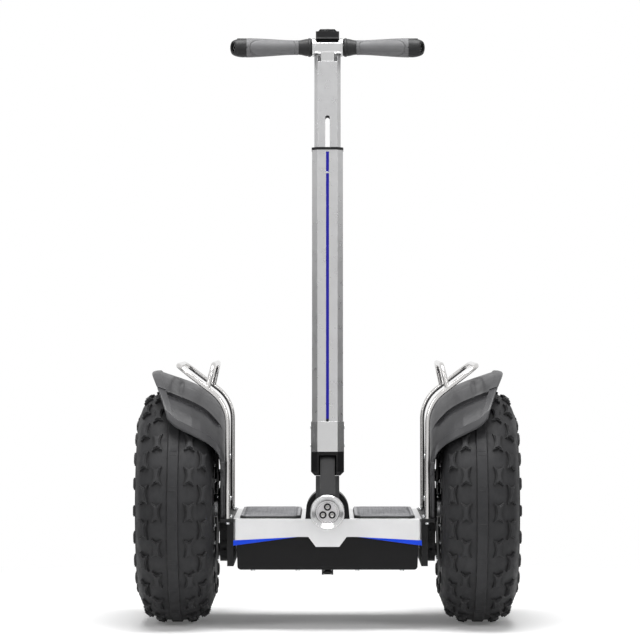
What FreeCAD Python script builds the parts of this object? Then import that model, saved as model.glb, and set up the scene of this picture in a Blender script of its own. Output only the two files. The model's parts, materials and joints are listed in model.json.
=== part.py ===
import FreeCAD, Part

import math
import os

import Sketcher

Vector = FreeCAD.Vector

# Driving sizes
# Lengths in millimetres, angles in degrees. +Z is up, the machine looks along -Y and the
# rider's left hand is on the +X side. The origin lies on the ground under the middle.

WHEEL_SIZES = {
    "wheel_reach": (119, "deck end to the middle of a tyre"),
    "tyre_diameter": (483, "over the tread"),
    "tyre_width": (158, "over the side walls"),
    "tyre_wall": (9, "rubber of tread base and side walls"),
    "bead_diameter": (203, "seat of the tyre on the rim"),
    "sidewall_curve": (100, "radius of the side wall in section"),
    "knob_height": (7, "tread block above the carcass"),
    "knob_width": (22, "tread block across"),
    "knob_waist": (12, "tread block across its drawn-in middle"),
    "knob_length": (40, "tread block along the tread"),
    "knob_notch": (6, "notch in both ends of a tread block"),
    "inner_row": (32, "tyre middle to the inner rows of blocks"),
    "outer_row": (57, "tyre middle to the outer rows of blocks"),
    "rib_rise": (4.5, "smooth rib above the carcass"),
    "rib_width": (22, "smooth rib round the middle of the tread"),
    "lug_length": (22, "side lug along the tread"),
    "lug_rise": (3, "side lug past the side wall"),
    "lug_top_drop": (59.5, "upper end of a side lug's full width inside the tread"),
    "lug_foot_drop": (73.5, "lower end of a side lug inside the tread"),
    "rim_width": (142, "over the rim flanges"),
    "rim_flange": (5, "thickness of a rim flange"),
    "rim_flange_rise": (9, "rim flange above the bead seat"),
    "rim_wall": (7.5, "barrel of the rim"),
    "rim_disc": (8, "disc of the rim"),
    "rim_ring_bore": (168, "bore of the bolted ring on the inner side"),
    "rim_window": (34, "round window in the disc"),
    "rim_window_circle": (128, "circle of the windows"),
    "ring_bolt_circle": (186, "circle of the ring bolts"),
    "ring_bolt": (5, "ring bolt shank"),
    "ring_bolt_head": (8.5, "ring bolt head over its corners"),
    "ring_bolt_head_height": (3.5, "ring bolt head"),
    "hub_flange": (96, "hub flange"),
    "hub_flange_thickness": (10, "hub flange"),
    "hub_barrel": (48, "hub barrel"),
    "hub_spigot": (50, "centring spigot of the hub"),
    "hub_spigot_reach": (10, "spigot past the hub flange"),
    "hub_bolt_circle": (72, "circle of the hub bolts"),
    "hub_bolt": (8, "hub bolt shank"),
    "hub_bolt_head": (13, "hub bolt head over its corners"),
    "hub_bolt_head_height": (5, "hub bolt head"),
    "hub_cap": (58, "dust cap over the spigot"),
    "hub_cap_height": (18, "dust cap"),
    "hub_cap_wall": (2, "dust cap"),
    "axle_shaft": (25, "output shaft of the gearbox"),
    "valve_stem": (8, "valve stem"),
    "valve_foot": (15, "foot of the valve inside the tyre"),
    "valve_foot_height": (3, "foot of the valve"),
    "valve_reach": (26, "valve stem below the barrel"),
    "valve_place": (32, "tyre middle to the valve, outward"),
}

BASE_SIZES = {
    "deck_width": (378, "deck frame over its ends"),
    "deck_front": (170, "front panel ahead of the axle"),
    "deck_back": (150, "back of the deck behind the axle"),
    "deck_drop": (16.5, "standing surface below the axle"),
    "deck_plate": (8, "top plate"),
    "deck_wall": (5, "front panel, back and end walls"),
    "deck_corner": (7, "rounding of the upright corners"),
    "panel_end_height": (43, "front panel at its ends"),
    "panel_mid_height": (36, "front panel beside the trapezoid"),
    "panel_nose_height": (56, "front panel at the trapezoid"),
    "nose_top_width": (77, "trapezoid where it leaves the edge"),
    "nose_bottom_width": (47, "trapezoid at its foot"),
    "tub_depth": (103, "underside of the tub below the standing surface"),
    "tub_draw": (3, "tub end drawn in at the bottom"),
    "tub_wall": (4, "tub"),
    "tub_step": (0.4, "tub inside the deck frame, each side"),
    "tub_lap": (22, "tub behind the panel"),
    "tub_corner": (8, "rounding along the tub's bottom edge"),
    "light_start": (60, "middle to the thin end of a light strip"),
    "light_height": (10.5, "light strip at its thick end"),
    "light_depth": (4.6, "light strip front to back"),
    "mat_inner": (54, "middle to the inner edge of a mat"),
    "mat_margin": (13, "deck end to the outer edge of a mat"),
    "mat_front": (155, "mat ahead of the axle"),
    "mat_back": (130, "mat behind the axle"),
    "mat_chamfer": (12, "cut corner of a mat"),
    "mat_thickness": (7.5, "mat"),
    "mat_travel": (2, "mat under a foot"),
    "mat_recess": (3.2, "recess in the deck under a mat"),
    "mat_gap": (0.8, "mat in its recess, all round"),
    "mat_rib_height": (1, "ribs on a mat"),
    "mat_rib": (3, "rib on a mat"),
    "mat_pin_inset": (20, "guide pin from a mat's edges"),
    "mat_pin": (8, "guide pin under a mat"),
    "mat_pin_length": (9, "guide pin below the mat"),
    "switch_body": (18, "foot switch"),
    "switch_height": (9, "foot switch"),
    "battery_gap": (2.6, "battery beside each motor"),
    "battery_depth": (190, "battery front to back"),
    "battery_height": (70, "battery"),
    "battery_setback": (43, "middle of the battery behind the axle"),
    "battery_round": (4, "edges of the battery"),
    "board_thickness": (1.6, "printed circuit board"),
    "board_drop": (7, "board below the deck plate"),
    "control_width": (110, "control board"),
    "control_depth": (86, "control board"),
    "control_back": (138, "back edge of the control board behind the axle"),
    "sensor_size": (40, "balance sensor board"),
    "sensor_front": (75, "middle of the balance sensor ahead of the axle"),
    "post_size": (6, "standoff of a board"),
    "chip_size": (9, "square part on a board"),
    "chip_height": (3, "parts on a board"),
    "bracket_thickness": (13, "web of a side bracket"),
    "bracket_flange": (7, "top flange of a side bracket"),
    "bracket_reach": (26, "top flange outward from the deck end"),
    "bracket_web_half": (150, "web of a side bracket ahead of and behind the axle"),
    "bracket_half": (172, "side bracket ahead of and behind the axle"),
    "bracket_depth": (96.5, "side bracket below the standing surface"),
    "gearbox_width": (19, "gearbox case"),
    "gearbox_top_radius": (52, "case round the output shaft"),
    "gearbox_low_radius": (45, "case round the motor shaft"),
    "motor_drop": (69.5, "motor shaft below the axle"),
    "gearbox_rib_pitch": (21, "between the ribs on the case"),
    "gearbox_rib": (3, "ribs on the case"),
    "boss_diameter": (72, "bearing boss of the gearbox"),
    "boss_height": (4, "bearing boss past the case"),
    "case_back": (2, "back wall of the gearbox behind its bearings"),
    "axle_bearing": (52, "axle bearing outside"),
    "axle_bearing_width": (7, "axle bearing"),
    "motor_diameter": (80, "motor"),
    "motor_length": (74, "motor"),
    "motor_nose": (36, "bearing nose of the motor"),
    "motor_rib": (2, "cooling rib of the motor"),
    "stand_width": (23, "parking stand over its ears"),
    "stand_plate": (2, "plate of the stand bracket"),
    "stand_ear": (4, "ear of the stand bracket"),
    "stand_front": (120, "stand pin ahead of the axle"),
    "stand_drop": (7.5, "stand pin below the tub"),
    "stand_leg": (9, "leg of the parking stand"),
    "stand_pin": (5, "pin of the parking stand"),
    "stand_foot": (12, "rubber foot of the stand"),
    "stand_foot_length": (14, "rubber foot of the stand"),
    "stand_foot_cap": (4, "rubber past the end of the leg"),
    "stand_floor_gap": (0.6, "foot above the ground with the stand down"),
    "port_margin": (69, "charging socket inside the deck's end"),
    "port_diameter": (24, "charging socket"),
    "port_reach": (5, "charging socket past the back wall"),
    "port_barrel": (18, "charging socket inside the wall"),
    "port_depth": (14, "charging socket inside the wall"),
    "port_hole": (10, "hole of the charging socket"),
    "port_drop": (20, "charging socket below the deck's top"),
    "cap_thickness": (3, "cap of the charging socket"),
    "cap_lug": (3, "hinge lug of the cap"),
    "cap_lug_reach": (2.6, "hinge lug past the middle of its pin"),
    "cap_lug_gap": (5, "hinge lugs from the middle of the socket"),
    "cap_pin": (3, "hinge pin of the cap"),
}

GUARD_SIZES = {
    "fender_wall": (4, "moulded fender"),
    "fender_gap": (17, "deck end to the inner face of a fender"),
    "fender_sweep": (104, "degrees round the axle that a fender covers"),
    "peak_place": (33, "tyre middle out to the crest of a fender"),
    "edge_place": (53, "tyre middle out to the outer edge of a fender"),
    "crest_rise": (34.5, "crest of a fender past the tread"),
    "fender_edge_drop": (4, "outer edge below the crest"),
    "bend_place": (54, "tyre middle in to the bend between crown and shoulder"),
    "bend_rise": (4.5, "bend between crown and shoulder past the tread"),
    "shoulder_place": (80, "tyre middle in to where the crown begins"),
    "shoulder_drop": (17.5, "start of the crown inside the tread"),
    "fender_shoulder_curve": (46, "round shoulder of a fender"),
    "straight_drop": (53.5, "top of the straight inner wall inside the tread"),
    "root_drop": (91.5, "foot of the turned inner wall inside the tread"),
    "fender_plan": (487, "radius of the outer edge seen from above"),
    "band_width": (18, "raised band along the fender's edge"),
    "band_angle": (4, "degrees of the band at the fender's ends"),
    "band_rise": (2.5, "raised band above the fender"),
    "crease_rise": (1.6, "raised panel of the fender's ends"),
    "crease_place": (125, "crease ahead of and behind the axle"),
    "plate_half": (165, "inner plate ahead of and behind the axle"),
    "plate_shoulder": (146, "corner of the inner plate below the tyre's top"),
    "plate_slope": (15, "corner of the inner plate cut back"),
    "plate_slope_rise": (22, "corner of the inner plate cut back"),
    "plate_apex": (67, "apex of the inner plate below the tyre's top"),
    "plate_lip": (8, "lip along the plate's edges"),
    "plate_arch": (58, "radius of the arch round the gearbox"),
    "rail_tube": (10, "tube of the guard rail and the grab handle"),
    "rail_reach": (11.8, "deck end to a rail leg"),
    "rail_half": (162, "rail legs ahead of and behind the axle"),
    "knee_drop": (28, "knee of the rail below the tyre's top"),
    "tip_place": (7, "tyre middle in to the outer run of the rail"),
    "tip_rise": (49, "outer run of the rail above the tyre's top"),
    "rail_tip_half": (150, "outer run of the rail, half length"),
    "rail_knee_curve": (80, "bend at the knee"),
    "rail_tip_curve": (34, "bend at the tip"),
    "grab_reach": (52, "deck end to the foot of the grab handle"),
    "grab_lean": (11, "grab handle leaning inward"),
    "grab_rise": (51, "grab handle above the tyre's top"),
    "grab_curve": (28, "bend of the grab handle"),
    "rail_bolt": (6, "bolt in a rail leg"),
    "rail_bolt_head": (10, "bolt head"),
    "rail_bolt_head_height": (4, "bolt head"),
    "rail_bolt_depth": (14, "bolt inside a rail leg"),
}

COLUMN_SIZES = {
    "lean_back": (3, "degrees that the column leans back"),
    "column_front": (188, "column ahead of the axle at the pivot"),
    "housing_radius": (43, "pivot housing round the lean axis"),
    "housing_foot": (89, "pivot housing at the deck"),
    "housing_depth": (68, "pivot housing front to back"),
    "housing_inset": (0.5, "pivot housing behind the deck's front face"),
    "housing_root_width": (60, "root of the housing through the deck"),
    "housing_root_drop": (18, "root of the housing below the deck's top"),
    "housing_root_margin": (8, "root of the housing short of its ends"),
    "housing_round": (6, "back edge of the pivot housing"),
    "bearing_inset": (10, "front bearing behind the housing's face"),
    "shaft_inset": (4, "shaft short of the neck's face"),
    "housing_wall": (9, "back wall of the pivot housing"),
    "pivot_shaft": (20, "shaft of the lean pivot"),
    "pivot_bearing": (42, "pivot bearing outside"),
    "pivot_bearing_width": (12, "pivot bearing"),
    "dog_width": (32, "cross bar of the shaft between its stops"),
    "dog_height": (8, "cross bar of the shaft"),
    "dog_depth": (16, "cross bar of the shaft"),
    "stop_inner": (21.2, "bore between the rubber stops"),
    "stop_angle": (38, "degrees from level to the face of a stop"),
    "boss_radius": (31, "neck round the shaft"),
    "boss_depth": (32, "neck round the shaft"),
    "neck_bevel": (8, "corners of the neck"),
    "neck_width": (47, "neck"),
    "neck_depth": (38, "neck"),
    "neck_rib": (29.4, "rib up the front of the neck"),
    "neck_rib_depth": (46, "rib and tongue of the neck"),
    "neck_tongue": (112, "top of the neck along the column"),
    "neck_round": (14, "round top of the rib"),
    "neck_shoulder": (71, "top of the wide neck along the column"),
    "light_diameter": (69, "headlight"),
    "light_length": (22, "headlight"),
    "light_wall": (3, "bezel of the headlight"),
    "dish_diameter": (45, "flat disc with the lenses"),
    "dish_depth": (8, "disc behind the rim"),
    "dish_thickness": (3, "disc with the lenses"),
    "lens_diameter": (14.6, "lens"),
    "lens_circle": (21, "circle of the lenses"),
    "lens_height": (3.5, "dome of a lens past the disc"),
    "foot_collar_low": (79, "full width of the black collar begins"),
    "foot_collar_bottom": (71.5, "bottom of the black collar"),
    "foot_collar_top": (119, "top of the black collar"),
    "foot_collar_slot": (34.8, "opening of the black collar"),
    "collar_top": (179, "top of the bright collar"),
    "collar_width": (66, "both collars"),
    "collar_depth": (60, "both collars"),
    "collar_bevel": (13, "both collars"),
    "sleeve_width": (62, "outer tube"),
    "sleeve_depth": (56, "outer tube"),
    "sleeve_bevel": (11, "outer tube"),
    "sleeve_top": (723.6, "top of the outer tube along the column"),
    "sleeve_split": (2, "split in the back of the outer tube"),
    "sleeve_split_length": (60, "split in the back of the outer tube"),
    "strip_width": (6, "light strip in the outer tube"),
    "strip_depth": (1.5, "light strip in the outer tube"),
    "strip_margin": (4, "strip short of its groove's top"),
    "bush_height": (5, "guide bush on the outer tube"),
    "bush_tongue": (4, "tongue of the bush in the slot"),
    "bush_lip": (0.8, "bush past the outer tube"),
    "inner_width": (52.8, "inner tube"),
    "inner_depth": (46, "inner tube"),
    "inner_bevel": (7, "inner tube"),
    "inner_wall": (3.5, "inner tube"),
    "inner_bottom": (540, "bottom of the inner tube along the column"),
    "notch_width": (40, "notch in the top of the inner tube, front and back"),
    "notch_height": (11.7, "notch in the top of the inner tube, front and back"),
    "slot_width": (9, "slot in the inner tube"),
    "slot_bottom": (600, "slot of the inner tube along the column"),
    "slot_top": (793, "slot of the inner tube along the column"),
    "ear_height": (25, "clamp ears of the outer tube"),
    "ear_reach": (14.4, "clamp ears past the outer tube"),
    "ear_width": (12, "clamp ears from the middle"),
    "ear_drop": (21, "middle of the ears below the tube's top"),
    "skewer": (6, "skewer through the ears"),
    "skewer_back": (9, "skewer behind the outer tube"),
    "skewer_nut": (12, "nut of the skewer"),
    "skewer_nut_length": (7, "nut of the skewer"),
    "skewer_washer": (1.6, "washer under the lever"),
    "lever_hub": (12, "hub of the clamp lever"),
    "lever_hub_height": (16, "hub of the clamp lever"),
    "lever_length": (46, "clamp lever"),
    "lever_thickness": (4.5, "clamp lever"),
    "lever_height": (13, "clamp lever"),
}

BAR_SIZES = {
    "head_diameter": (36, "cross tube on top of the column"),
    "head_width": (61, "cross tube on top of the column"),
    "head_height": (933, "cross tube along the column"),
    "head_band": (1, "raised bands of the cross tube"),
    "head_band_width": (5, "raised bands of the cross tube"),
    "link_width": (40, "neck between inner tube and cross tube"),
    "link_depth": (28, "neck between inner tube and cross tube"),
    "link_plug": (24, "plug in the inner tube"),
    "arm_straight": (40, "straight part of an arm from the middle"),
    "arm_curve": (330, "radius in which an arm curves forward"),
    "arm_drop": (9.6, "degrees that the curved arms are tipped down"),
    "arm_diameter": (22, "arm inside a grip"),
    "arm_wall": (2.5, "tube of an arm"),
    "arm_reach": (195.3, "end of a grip along the arm"),
    "arm_stop": (6, "arm short of the grip's end"),
    "grip_start": (30.8, "grip begins along the arm"),
    "grip_lip": (32.4, "grip beside the cross tube"),
    "grip_flare": (38, "fullest part of the flare"),
    "flare_place": (5, "fullest part of the flare from the grip's start"),
    "flare_length": (27.4, "flared collar of a grip"),
    "grip_root": (28.8, "grip beside its collar"),
    "grip_middle": (33.3, "grip at half its length"),
    "grip_bulge": (38.6, "grip at the palm"),
    "insert_end": (168, "palm bulge and end of the soft insert along the arm"),
    "insert_thickness": (2, "soft insert round a grip"),
    "grip_end": (31, "grip at its end"),
    "grip_end_hole": (19, "recess in a grip's end"),
    "grip_end_depth": (5, "recess in a grip's end"),
    "display_width": (47, "display housing"),
    "display_depth": (42, "display housing"),
    "display_height": (12, "display housing above the cross tube"),
    "display_skirt": (2, "display housing down round the cross tube"),
    "display_crown": (29, "raised middle of the display"),
    "display_crown_height": (5, "raised middle of the display"),
    "display_crown_depth": (32, "raised middle of the display"),
    "display_round": (4, "edges of the display housing"),
    "button_diameter": (12, "power button"),
    "button_rise": (1.8, "power button above the display"),
    "button_travel": (1, "power button"),
    "button_depth": (5, "power button"),
}

FIT_SIZES = {
    "running_fit": (0.05, "shaft in its bearing or bore, all round"),
    "seat_gap": (0.05, "fixed piece in its seat, all round"),
    "moving_gap": (0.3, "moving piece beside another"),
    "bolt_gap": (0.15, "bolt in its hole, all round"),
    "overrun": (2, "a cut past the piece it cuts"),
}

COUNTS = {
    "knob_count": (20, "tread blocks in a row"),
    "ring_bolt_count": (12, "ring bolts in a rim"),
    "hub_bolt_count": (5, "hub bolts in a wheel"),
    "gearbox_rib_count": (3, "ribs on a gearbox"),
    "window_count": (5, "windows in a rim"),
    "lens_count": (3, "lenses in the headlight"),
    "motor_rib_count": (5, "cooling ribs of a motor"),
    "chip_columns": (5, "transistors in a row on the control board"),
    "mat_rib_count": (9, "ribs on a mat"),
}

# The carcass and the tread's outer skin in section, as shares of the half width and of the
# height above the bead.
CROWN_SHARES = ((0.28, 1.0), (0.56, 0.955), (0.82, 0.845))
BEAD_WIDTH_SHARE = 0.74
# Two points nearer than this are one point.
SAME_PLACE = 0.001


class Size:
    """A length, angle or share: its value now, and the words that follow the sheet."""

    def __init__(self, value, words):
        self.value = float(value)
        self.words = words

    def __add__(self, other):
        other = as_size(other)
        return Size(self.value + other.value, f"({self.words} + {other.words})")

    def __sub__(self, other):
        other = as_size(other)
        return Size(self.value - other.value, f"({self.words} - {other.words})")

    def __mul__(self, other):
        other = as_size(other)
        return Size(self.value * other.value, f"({self.words} * {other.words})")

    def __truediv__(self, other):
        other = as_size(other)
        return Size(self.value / other.value, f"({self.words} / {other.words})")

    def __neg__(self):
        return Size(-self.value, f"(0 - {self.words})")

    __radd__ = __add__
    __rmul__ = __mul__

    def __rsub__(self, other):
        return as_size(other) - self


def as_size(number):
    return number if isinstance(number, Size) else Size(number, repr(number))


def root(size):
    return Size(math.sqrt(size.value), f"sqrt({size.words})")


def sine(angle):
    return Size(math.sin(math.radians(angle.value)), f"sin({angle.words})")


def cosine(angle):
    return Size(math.cos(math.radians(angle.value)), f"cos({angle.words})")


def tangent(angle):
    return Size(math.tan(math.radians(angle.value)), f"tan({angle.words})")


class Sheet:
    """The spreadsheet of driving sizes; each alias is read as an attribute."""

    def __init__(self, document, groups):
        self.sheet = document.addObject("Spreadsheet::Sheet", "Sizes")
        row = 1
        for group in groups:
            for alias, (number, meaning) in group.items():
                self.sheet.set(f"A{row}", alias)
                self.sheet.set(f"B{row}", str(number))
                self.sheet.set(f"C{row}", meaning)
                self.sheet.setAlias(f"B{row}", alias)
                row += 1
        document.recompute()

    def __getattr__(self, alias):
        return Size(self.sheet.get(alias), f"Sizes.{alias}")


doc = FreeCAD.newDocument("PersonalTransporter")
S = Sheet(
    doc,
    (WHEEL_SIZES, BASE_SIZES, GUARD_SIZES, COLUMN_SIZES, BAR_SIZES, FIT_SIZES, COUNTS),
)
NODES = []
ZERO = as_size(0)


# Drawing helpers

def node(item, label):
    """Keep a sub-part under the name that its file has."""
    item.Label = label
    NODES.append(item)
    return item


def bind(item, path, size):
    """Tie a property of a document object to the sheet."""
    item.setExpression(path, as_size(size).words)


def place(item, x=ZERO, y=ZERO, z=ZERO, axis=None, angle=ZERO):
    """Tie an object's placement to the sheet, turned about an axis if one is given."""
    if axis:
        item.Placement = FreeCAD.Placement(Vector(), FreeCAD.Rotation(Vector(*axis), 1))
        bind(item, "Placement.Rotation.Angle", angle)
    for letter, size in (("x", x), ("y", y), ("z", z)):
        bind(item, f"Placement.Base.{letter}", size)
    return item


def new_body(name):
    return doc.addObject("PartDesign::Body", name)


def new_sketch(body, plane, height):
    """A sketch on a plane of the body's own origin, moved to a height along +X, +Y or +Z."""
    sketch = body.newObject("Sketcher::SketchObject", "Outline")
    origin = body.Origin.OriginFeatures
    sketch.AttachmentSupport = (next(f for f in origin if f.Role == f"{plane}_Plane"), "")
    sketch.MapMode = "FlatFace"
    along = -as_size(height) if plane == "XZ" else as_size(height)
    bind(sketch, "AttachmentOffset.Base.z", along)
    return sketch


def fix_point(sketch, geometry, end, across, up):
    """Hold one point of a sketch at two sizes from the sketch's origin."""
    for kind, size in (("DistanceX", across), ("DistanceY", up)):
        size = as_size(size)
        held = sketch.addConstraint(
            Sketcher.Constraint(kind, -1, 1, geometry, end, size.value)
        )
        bind(sketch, f"Constraints[{held}]", size)


def arc_geometry(start, finish, radius):
    """The short arc from start to finish; its centre is on the left for a positive radius."""
    chord = finish - start
    left = Vector(-chord.y, chord.x, 0).normalize()
    reach = math.sqrt(max(radius * radius - chord.Length * chord.Length / 4, 0))
    centre = start + chord / 2 + left * math.copysign(reach, radius)
    first, last = (start, finish) if radius > 0 else (finish, start)
    turns = [math.atan2(p.y - centre.y, p.x - centre.x) for p in (first, last)]
    if turns[1] < turns[0]:
        turns[1] += 2 * math.pi
    circle = Part.Circle(centre, Vector(0, 0, 1), abs(radius))
    return Part.ArcOfCircle(circle, turns[0], turns[1])


def draw(sketch, corners):
    """A closed outline. A corner is (across, up), or (across, up, radius) where an arc leaves it."""
    corners = [tuple(as_size(size) for size in corner) for corner in corners]
    points = [Vector(corner[0].value, corner[1].value, 0) for corner in corners]
    first = sketch.GeometryCount
    starts = []
    for index, corner in enumerate(corners):
        follower = points[(index + 1) % len(points)]
        if len(corner) == 3:
            radius = corner[2].value
            geometry = sketch.addGeometry(arc_geometry(points[index], follower, radius))
            held = sketch.addConstraint(Sketcher.Constraint("Radius", geometry, abs(radius)))
            bind(sketch, f"Constraints[{held}]", corner[2] if radius > 0 else -corner[2])
            starts.append(1 if radius > 0 else 2)
        else:
            sketch.addGeometry(Part.LineSegment(points[index], follower))
            starts.append(1)
    for index, corner in enumerate(corners):
        before = (index - 1) % len(corners)
        sketch.addConstraint(
            Sketcher.Constraint(
                "Coincident", first + before, 3 - starts[before], first + index, starts[index]
            )
        )
        fix_point(sketch, first + index, starts[index], corner[0], corner[1])


def draw_circle(sketch, across, up, radius):
    """A circle held by its centre and radius."""
    across, up, radius = as_size(across), as_size(up), as_size(radius)
    centre = Vector(across.value, up.value, 0)
    geometry = sketch.addGeometry(Part.Circle(centre, Vector(0, 0, 1), radius.value))
    held = sketch.addConstraint(Sketcher.Constraint("Radius", geometry, radius.value))
    bind(sketch, f"Constraints[{held}]", radius)
    fix_point(sketch, geometry, 3, across, up)


def pad(body, plane, low, high, corners=(), circles=()):
    """Material between two heights along the plane's normal."""
    start = high if plane == "XZ" else low
    sketch = new_sketch(body, plane, start)
    if corners:
        draw(sketch, corners)
    for circle in circles:
        draw_circle(sketch, *circle)
    feature = body.newObject("PartDesign::Pad", "Pad")
    feature.Profile = sketch
    bind(feature, "Length", as_size(high) - as_size(low))
    doc.recompute()
    return feature


def pocket(body, plane, low, high, corners=(), circles=()):
    """A cut between two heights along the plane's normal."""
    start = low if plane == "XZ" else high
    sketch = new_sketch(body, plane, start)
    if corners:
        draw(sketch, corners)
    for circle in circles:
        draw_circle(sketch, *circle)
    before = body.Shape.Volume
    feature = body.newObject("PartDesign::Pocket", "Pocket")
    feature.Profile = sketch
    bind(feature, "Length", as_size(high) - as_size(low))
    doc.recompute()
    if not body.Shape.Volume < before:
        raise ValueError(f"a pocket of {body.Name} cuts nothing")
    return feature


def turned(name, plane, axis, corners, sweep=None):
    """A body turned from its section about the sketch's level or upright axis."""
    body = new_body(name)
    sketch = new_sketch(body, plane, 0)
    draw(sketch, corners)
    feature = body.newObject("PartDesign::Revolution", "Turned")
    feature.Profile = sketch
    feature.ReferenceAxis = (sketch, [axis])
    if sweep is not None:
        feature.Midplane = True
        bind(feature, "Angle", sweep)
    doc.recompute()
    return body


def prism(name, plane, low, high, corners=(), circles=()):
    body = new_body(name)
    pad(body, plane, low, high, corners, circles)
    return body


def round_edges(body, radius, chooser, cut=False):
    """Round or bevel the edges of a body's last feature that the chooser picks."""
    base = body.Tip
    names = [
        f"Edge{number}"
        for number, edge in enumerate(base.Shape.Edges, 1)
        if chooser(edge)
    ]
    kind = "PartDesign::Chamfer" if cut else "PartDesign::Fillet"
    feature = body.newObject(kind, "Rounded")
    feature.Base = (base, names)
    bind(feature, "Size" if cut else "Radius", radius)
    doc.recompute()
    return feature


def rod(axis, x, y, z, radius, length):
    """A round bar that starts at a point and runs along +X, +Y or +Z."""
    bar = doc.addObject("Part::Cylinder", "Rod")
    bind(bar, "Radius", radius)
    bind(bar, "Height", length)
    turns = {"X": (Vector(0, 1, 0), 90), "Y": (Vector(1, 0, 0), -90), "Z": (Vector(0, 0, 1), 0)}
    bar.Placement.Rotation = FreeCAD.Rotation(*turns[axis])
    for letter, size in (("x", x), ("y", y), ("z", z)):
        bind(bar, f"Placement.Base.{letter}", size)
    return bar


def hexagon_rod(axis, x, y, z, corners_size, length):
    """A six-sided head that starts at a point and runs along +X, +Y or +Z."""
    head = doc.addObject("Part::Prism", "Head")
    head.Polygon = 6
    bind(head, "Circumradius", as_size(corners_size) / 2)
    bind(head, "Height", length)
    turns = {"X": (Vector(0, 1, 0), 90), "Y": (Vector(1, 0, 0), -90), "Z": (Vector(0, 0, 1), 0)}
    head.Placement.Rotation = FreeCAD.Rotation(*turns[axis])
    for letter, size in (("x", x), ("y", y), ("z", z)):
        bind(head, f"Placement.Base.{letter}", size)
    return head


def fuse(*items):
    whole = doc.addObject("Part::MultiFuse", "Fused")
    whole.Shapes = list(items)
    return whole


def cut(base, *tools):
    """The base less the tools."""
    whole = doc.addObject("Part::Cut", "CutPiece")
    whole.Base = base
    whole.Tool = tools[0] if len(tools) == 1 else fuse(*tools)
    return whole


def common(*items):
    whole = doc.addObject("Part::MultiCommon", "Common")
    whole.Shapes = list(items)
    return whole


def group(*items):
    """Separate solids that share one name."""
    whole = doc.addObject("Part::Compound", "Group")
    whole.Links = list(items)
    return whole


def mirror(item, label):
    """The same piece on the rider's right, reflected in the machine's middle plane."""
    other = doc.addObject("Part::Mirroring", "Mirrored")
    other.Source = item
    other.Normal = Vector(1, 0, 0)
    return node(other, label)


def pair(left_piece):
    """A left-hand piece and its reflection, under one name."""
    other = doc.addObject("Part::Mirroring", "Mirrored")
    other.Source = left_piece
    other.Normal = Vector(1, 0, 0)
    return group(left_piece, other)


def shaped(name, shape):
    """A piece whose form comes straight from curves and sweeps."""
    feature = doc.addObject("Part::Feature", name)
    feature.Shape = shape
    return feature


def rectangle(x_low, x_high, y_low, y_high):
    return ((x_low, y_low), (x_high, y_low), (x_high, y_high), (x_low, y_high))


def bevelled(width, depth, bevel):
    """The eight-cornered section of the column's tubes, round the column's axis."""
    x, y, b = as_size(width) / 2, as_size(depth) / 2, as_size(bevel)
    return (
        (-x + b, -y), (x - b, -y), (x, -y + b), (x, y - b),
        (x - b, y), (-x + b, y), (-x, y - b), (-x, -y + b),
    )


def bent_tube(points, bends, radius):
    """A round tube along straight runs joined by tangent bends, one bend for each inner point."""
    points = [Vector(*(size.value for size in point)) for point in points]
    bends = [bend.value for bend in bends]
    edges = []
    here = points[0]
    for corner, after, bend in zip(points[1:-1], points[2:], bends):
        back = (here - corner).normalize()
        onward = (after - corner).normalize()
        half_turn = (math.pi - back.getAngle(onward)) / 2
        reach = bend * math.tan(half_turn)
        enter, leave = corner + back * reach, corner + onward * reach
        inward = (back + onward).normalize()
        middle = corner + inward * (bend / math.cos(half_turn) - bend)
        edges.append(Part.LineSegment(here, enter).toShape())
        edges.append(Part.Arc(enter, middle, leave).toShape())
        here = leave
    edges.append(Part.LineSegment(here, points[-1]).toShape())
    path = Part.Wire(edges)
    start = points[1] - points[0]
    circle = Part.Wire(Part.Circle(points[0], start, radius.value).toShape())
    return path.makePipeShell([circle], True, False)


# Shared places
axle_height = S.tyre_diameter / 2
tread_radius = S.tyre_diameter / 2
tyre_top = axle_height + tread_radius
bead_radius = S.bead_diameter / 2
deck_end = S.deck_width / 2
wheel_place = deck_end + S.wheel_reach
deck_top = axle_height - S.deck_drop
tub_bottom = deck_top - S.tub_depth
mat_outer = deck_end - S.mat_margin
bracket_bottom = deck_top - S.bracket_depth
motor_height = axle_height - S.motor_drop
web_face = deck_end + S.bracket_thickness
case_face = web_face + S.gearbox_width
plate_underside = deck_top - S.deck_plate
neck_back = -(S.deck_front + S.overrun)
neck_front = neck_back - S.boss_depth
fender_inner = deck_end + S.fender_gap
fender_shoulder = wheel_place - S.shoulder_place
fender_bend = wheel_place - S.bend_place
fender_peak = wheel_place + S.peak_place
fender_edge = wheel_place + S.edge_place
fender_crest = tread_radius + S.crest_rise
fender_bend_rise = tread_radius + S.bend_rise
fender_shoulder_rise = tread_radius - S.shoulder_drop
fender_straight = tread_radius - S.straight_drop
fender_root = tread_radius - S.root_drop
rail_place = deck_end + S.rail_reach
rail_knee = tyre_top - S.knee_drop
rail_tip = wheel_place - S.tip_place
rail_tip_height = tyre_top + S.tip_rise
grab_foot = deck_end + S.grab_reach
grab_height = tyre_top + S.grab_rise
lug_top = tread_radius - S.lug_top_drop
lug_foot = tread_radius - S.lug_foot_drop


# Wheels

def mirrored_profile(right):
    """A profile over the tyre's crown: the right half, then the left half."""
    return [*reversed(right), *((-across, up) for across, up in right)]


def crown(rise):
    """The right half of the tyre's crown in section, raised or sunk."""
    height = tread_radius - bead_radius
    base = bead_radius - S.knob_height + rise
    return [(S.tyre_width / 2 * across, base + height * up) for across, up in CROWN_SHARES]


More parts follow.
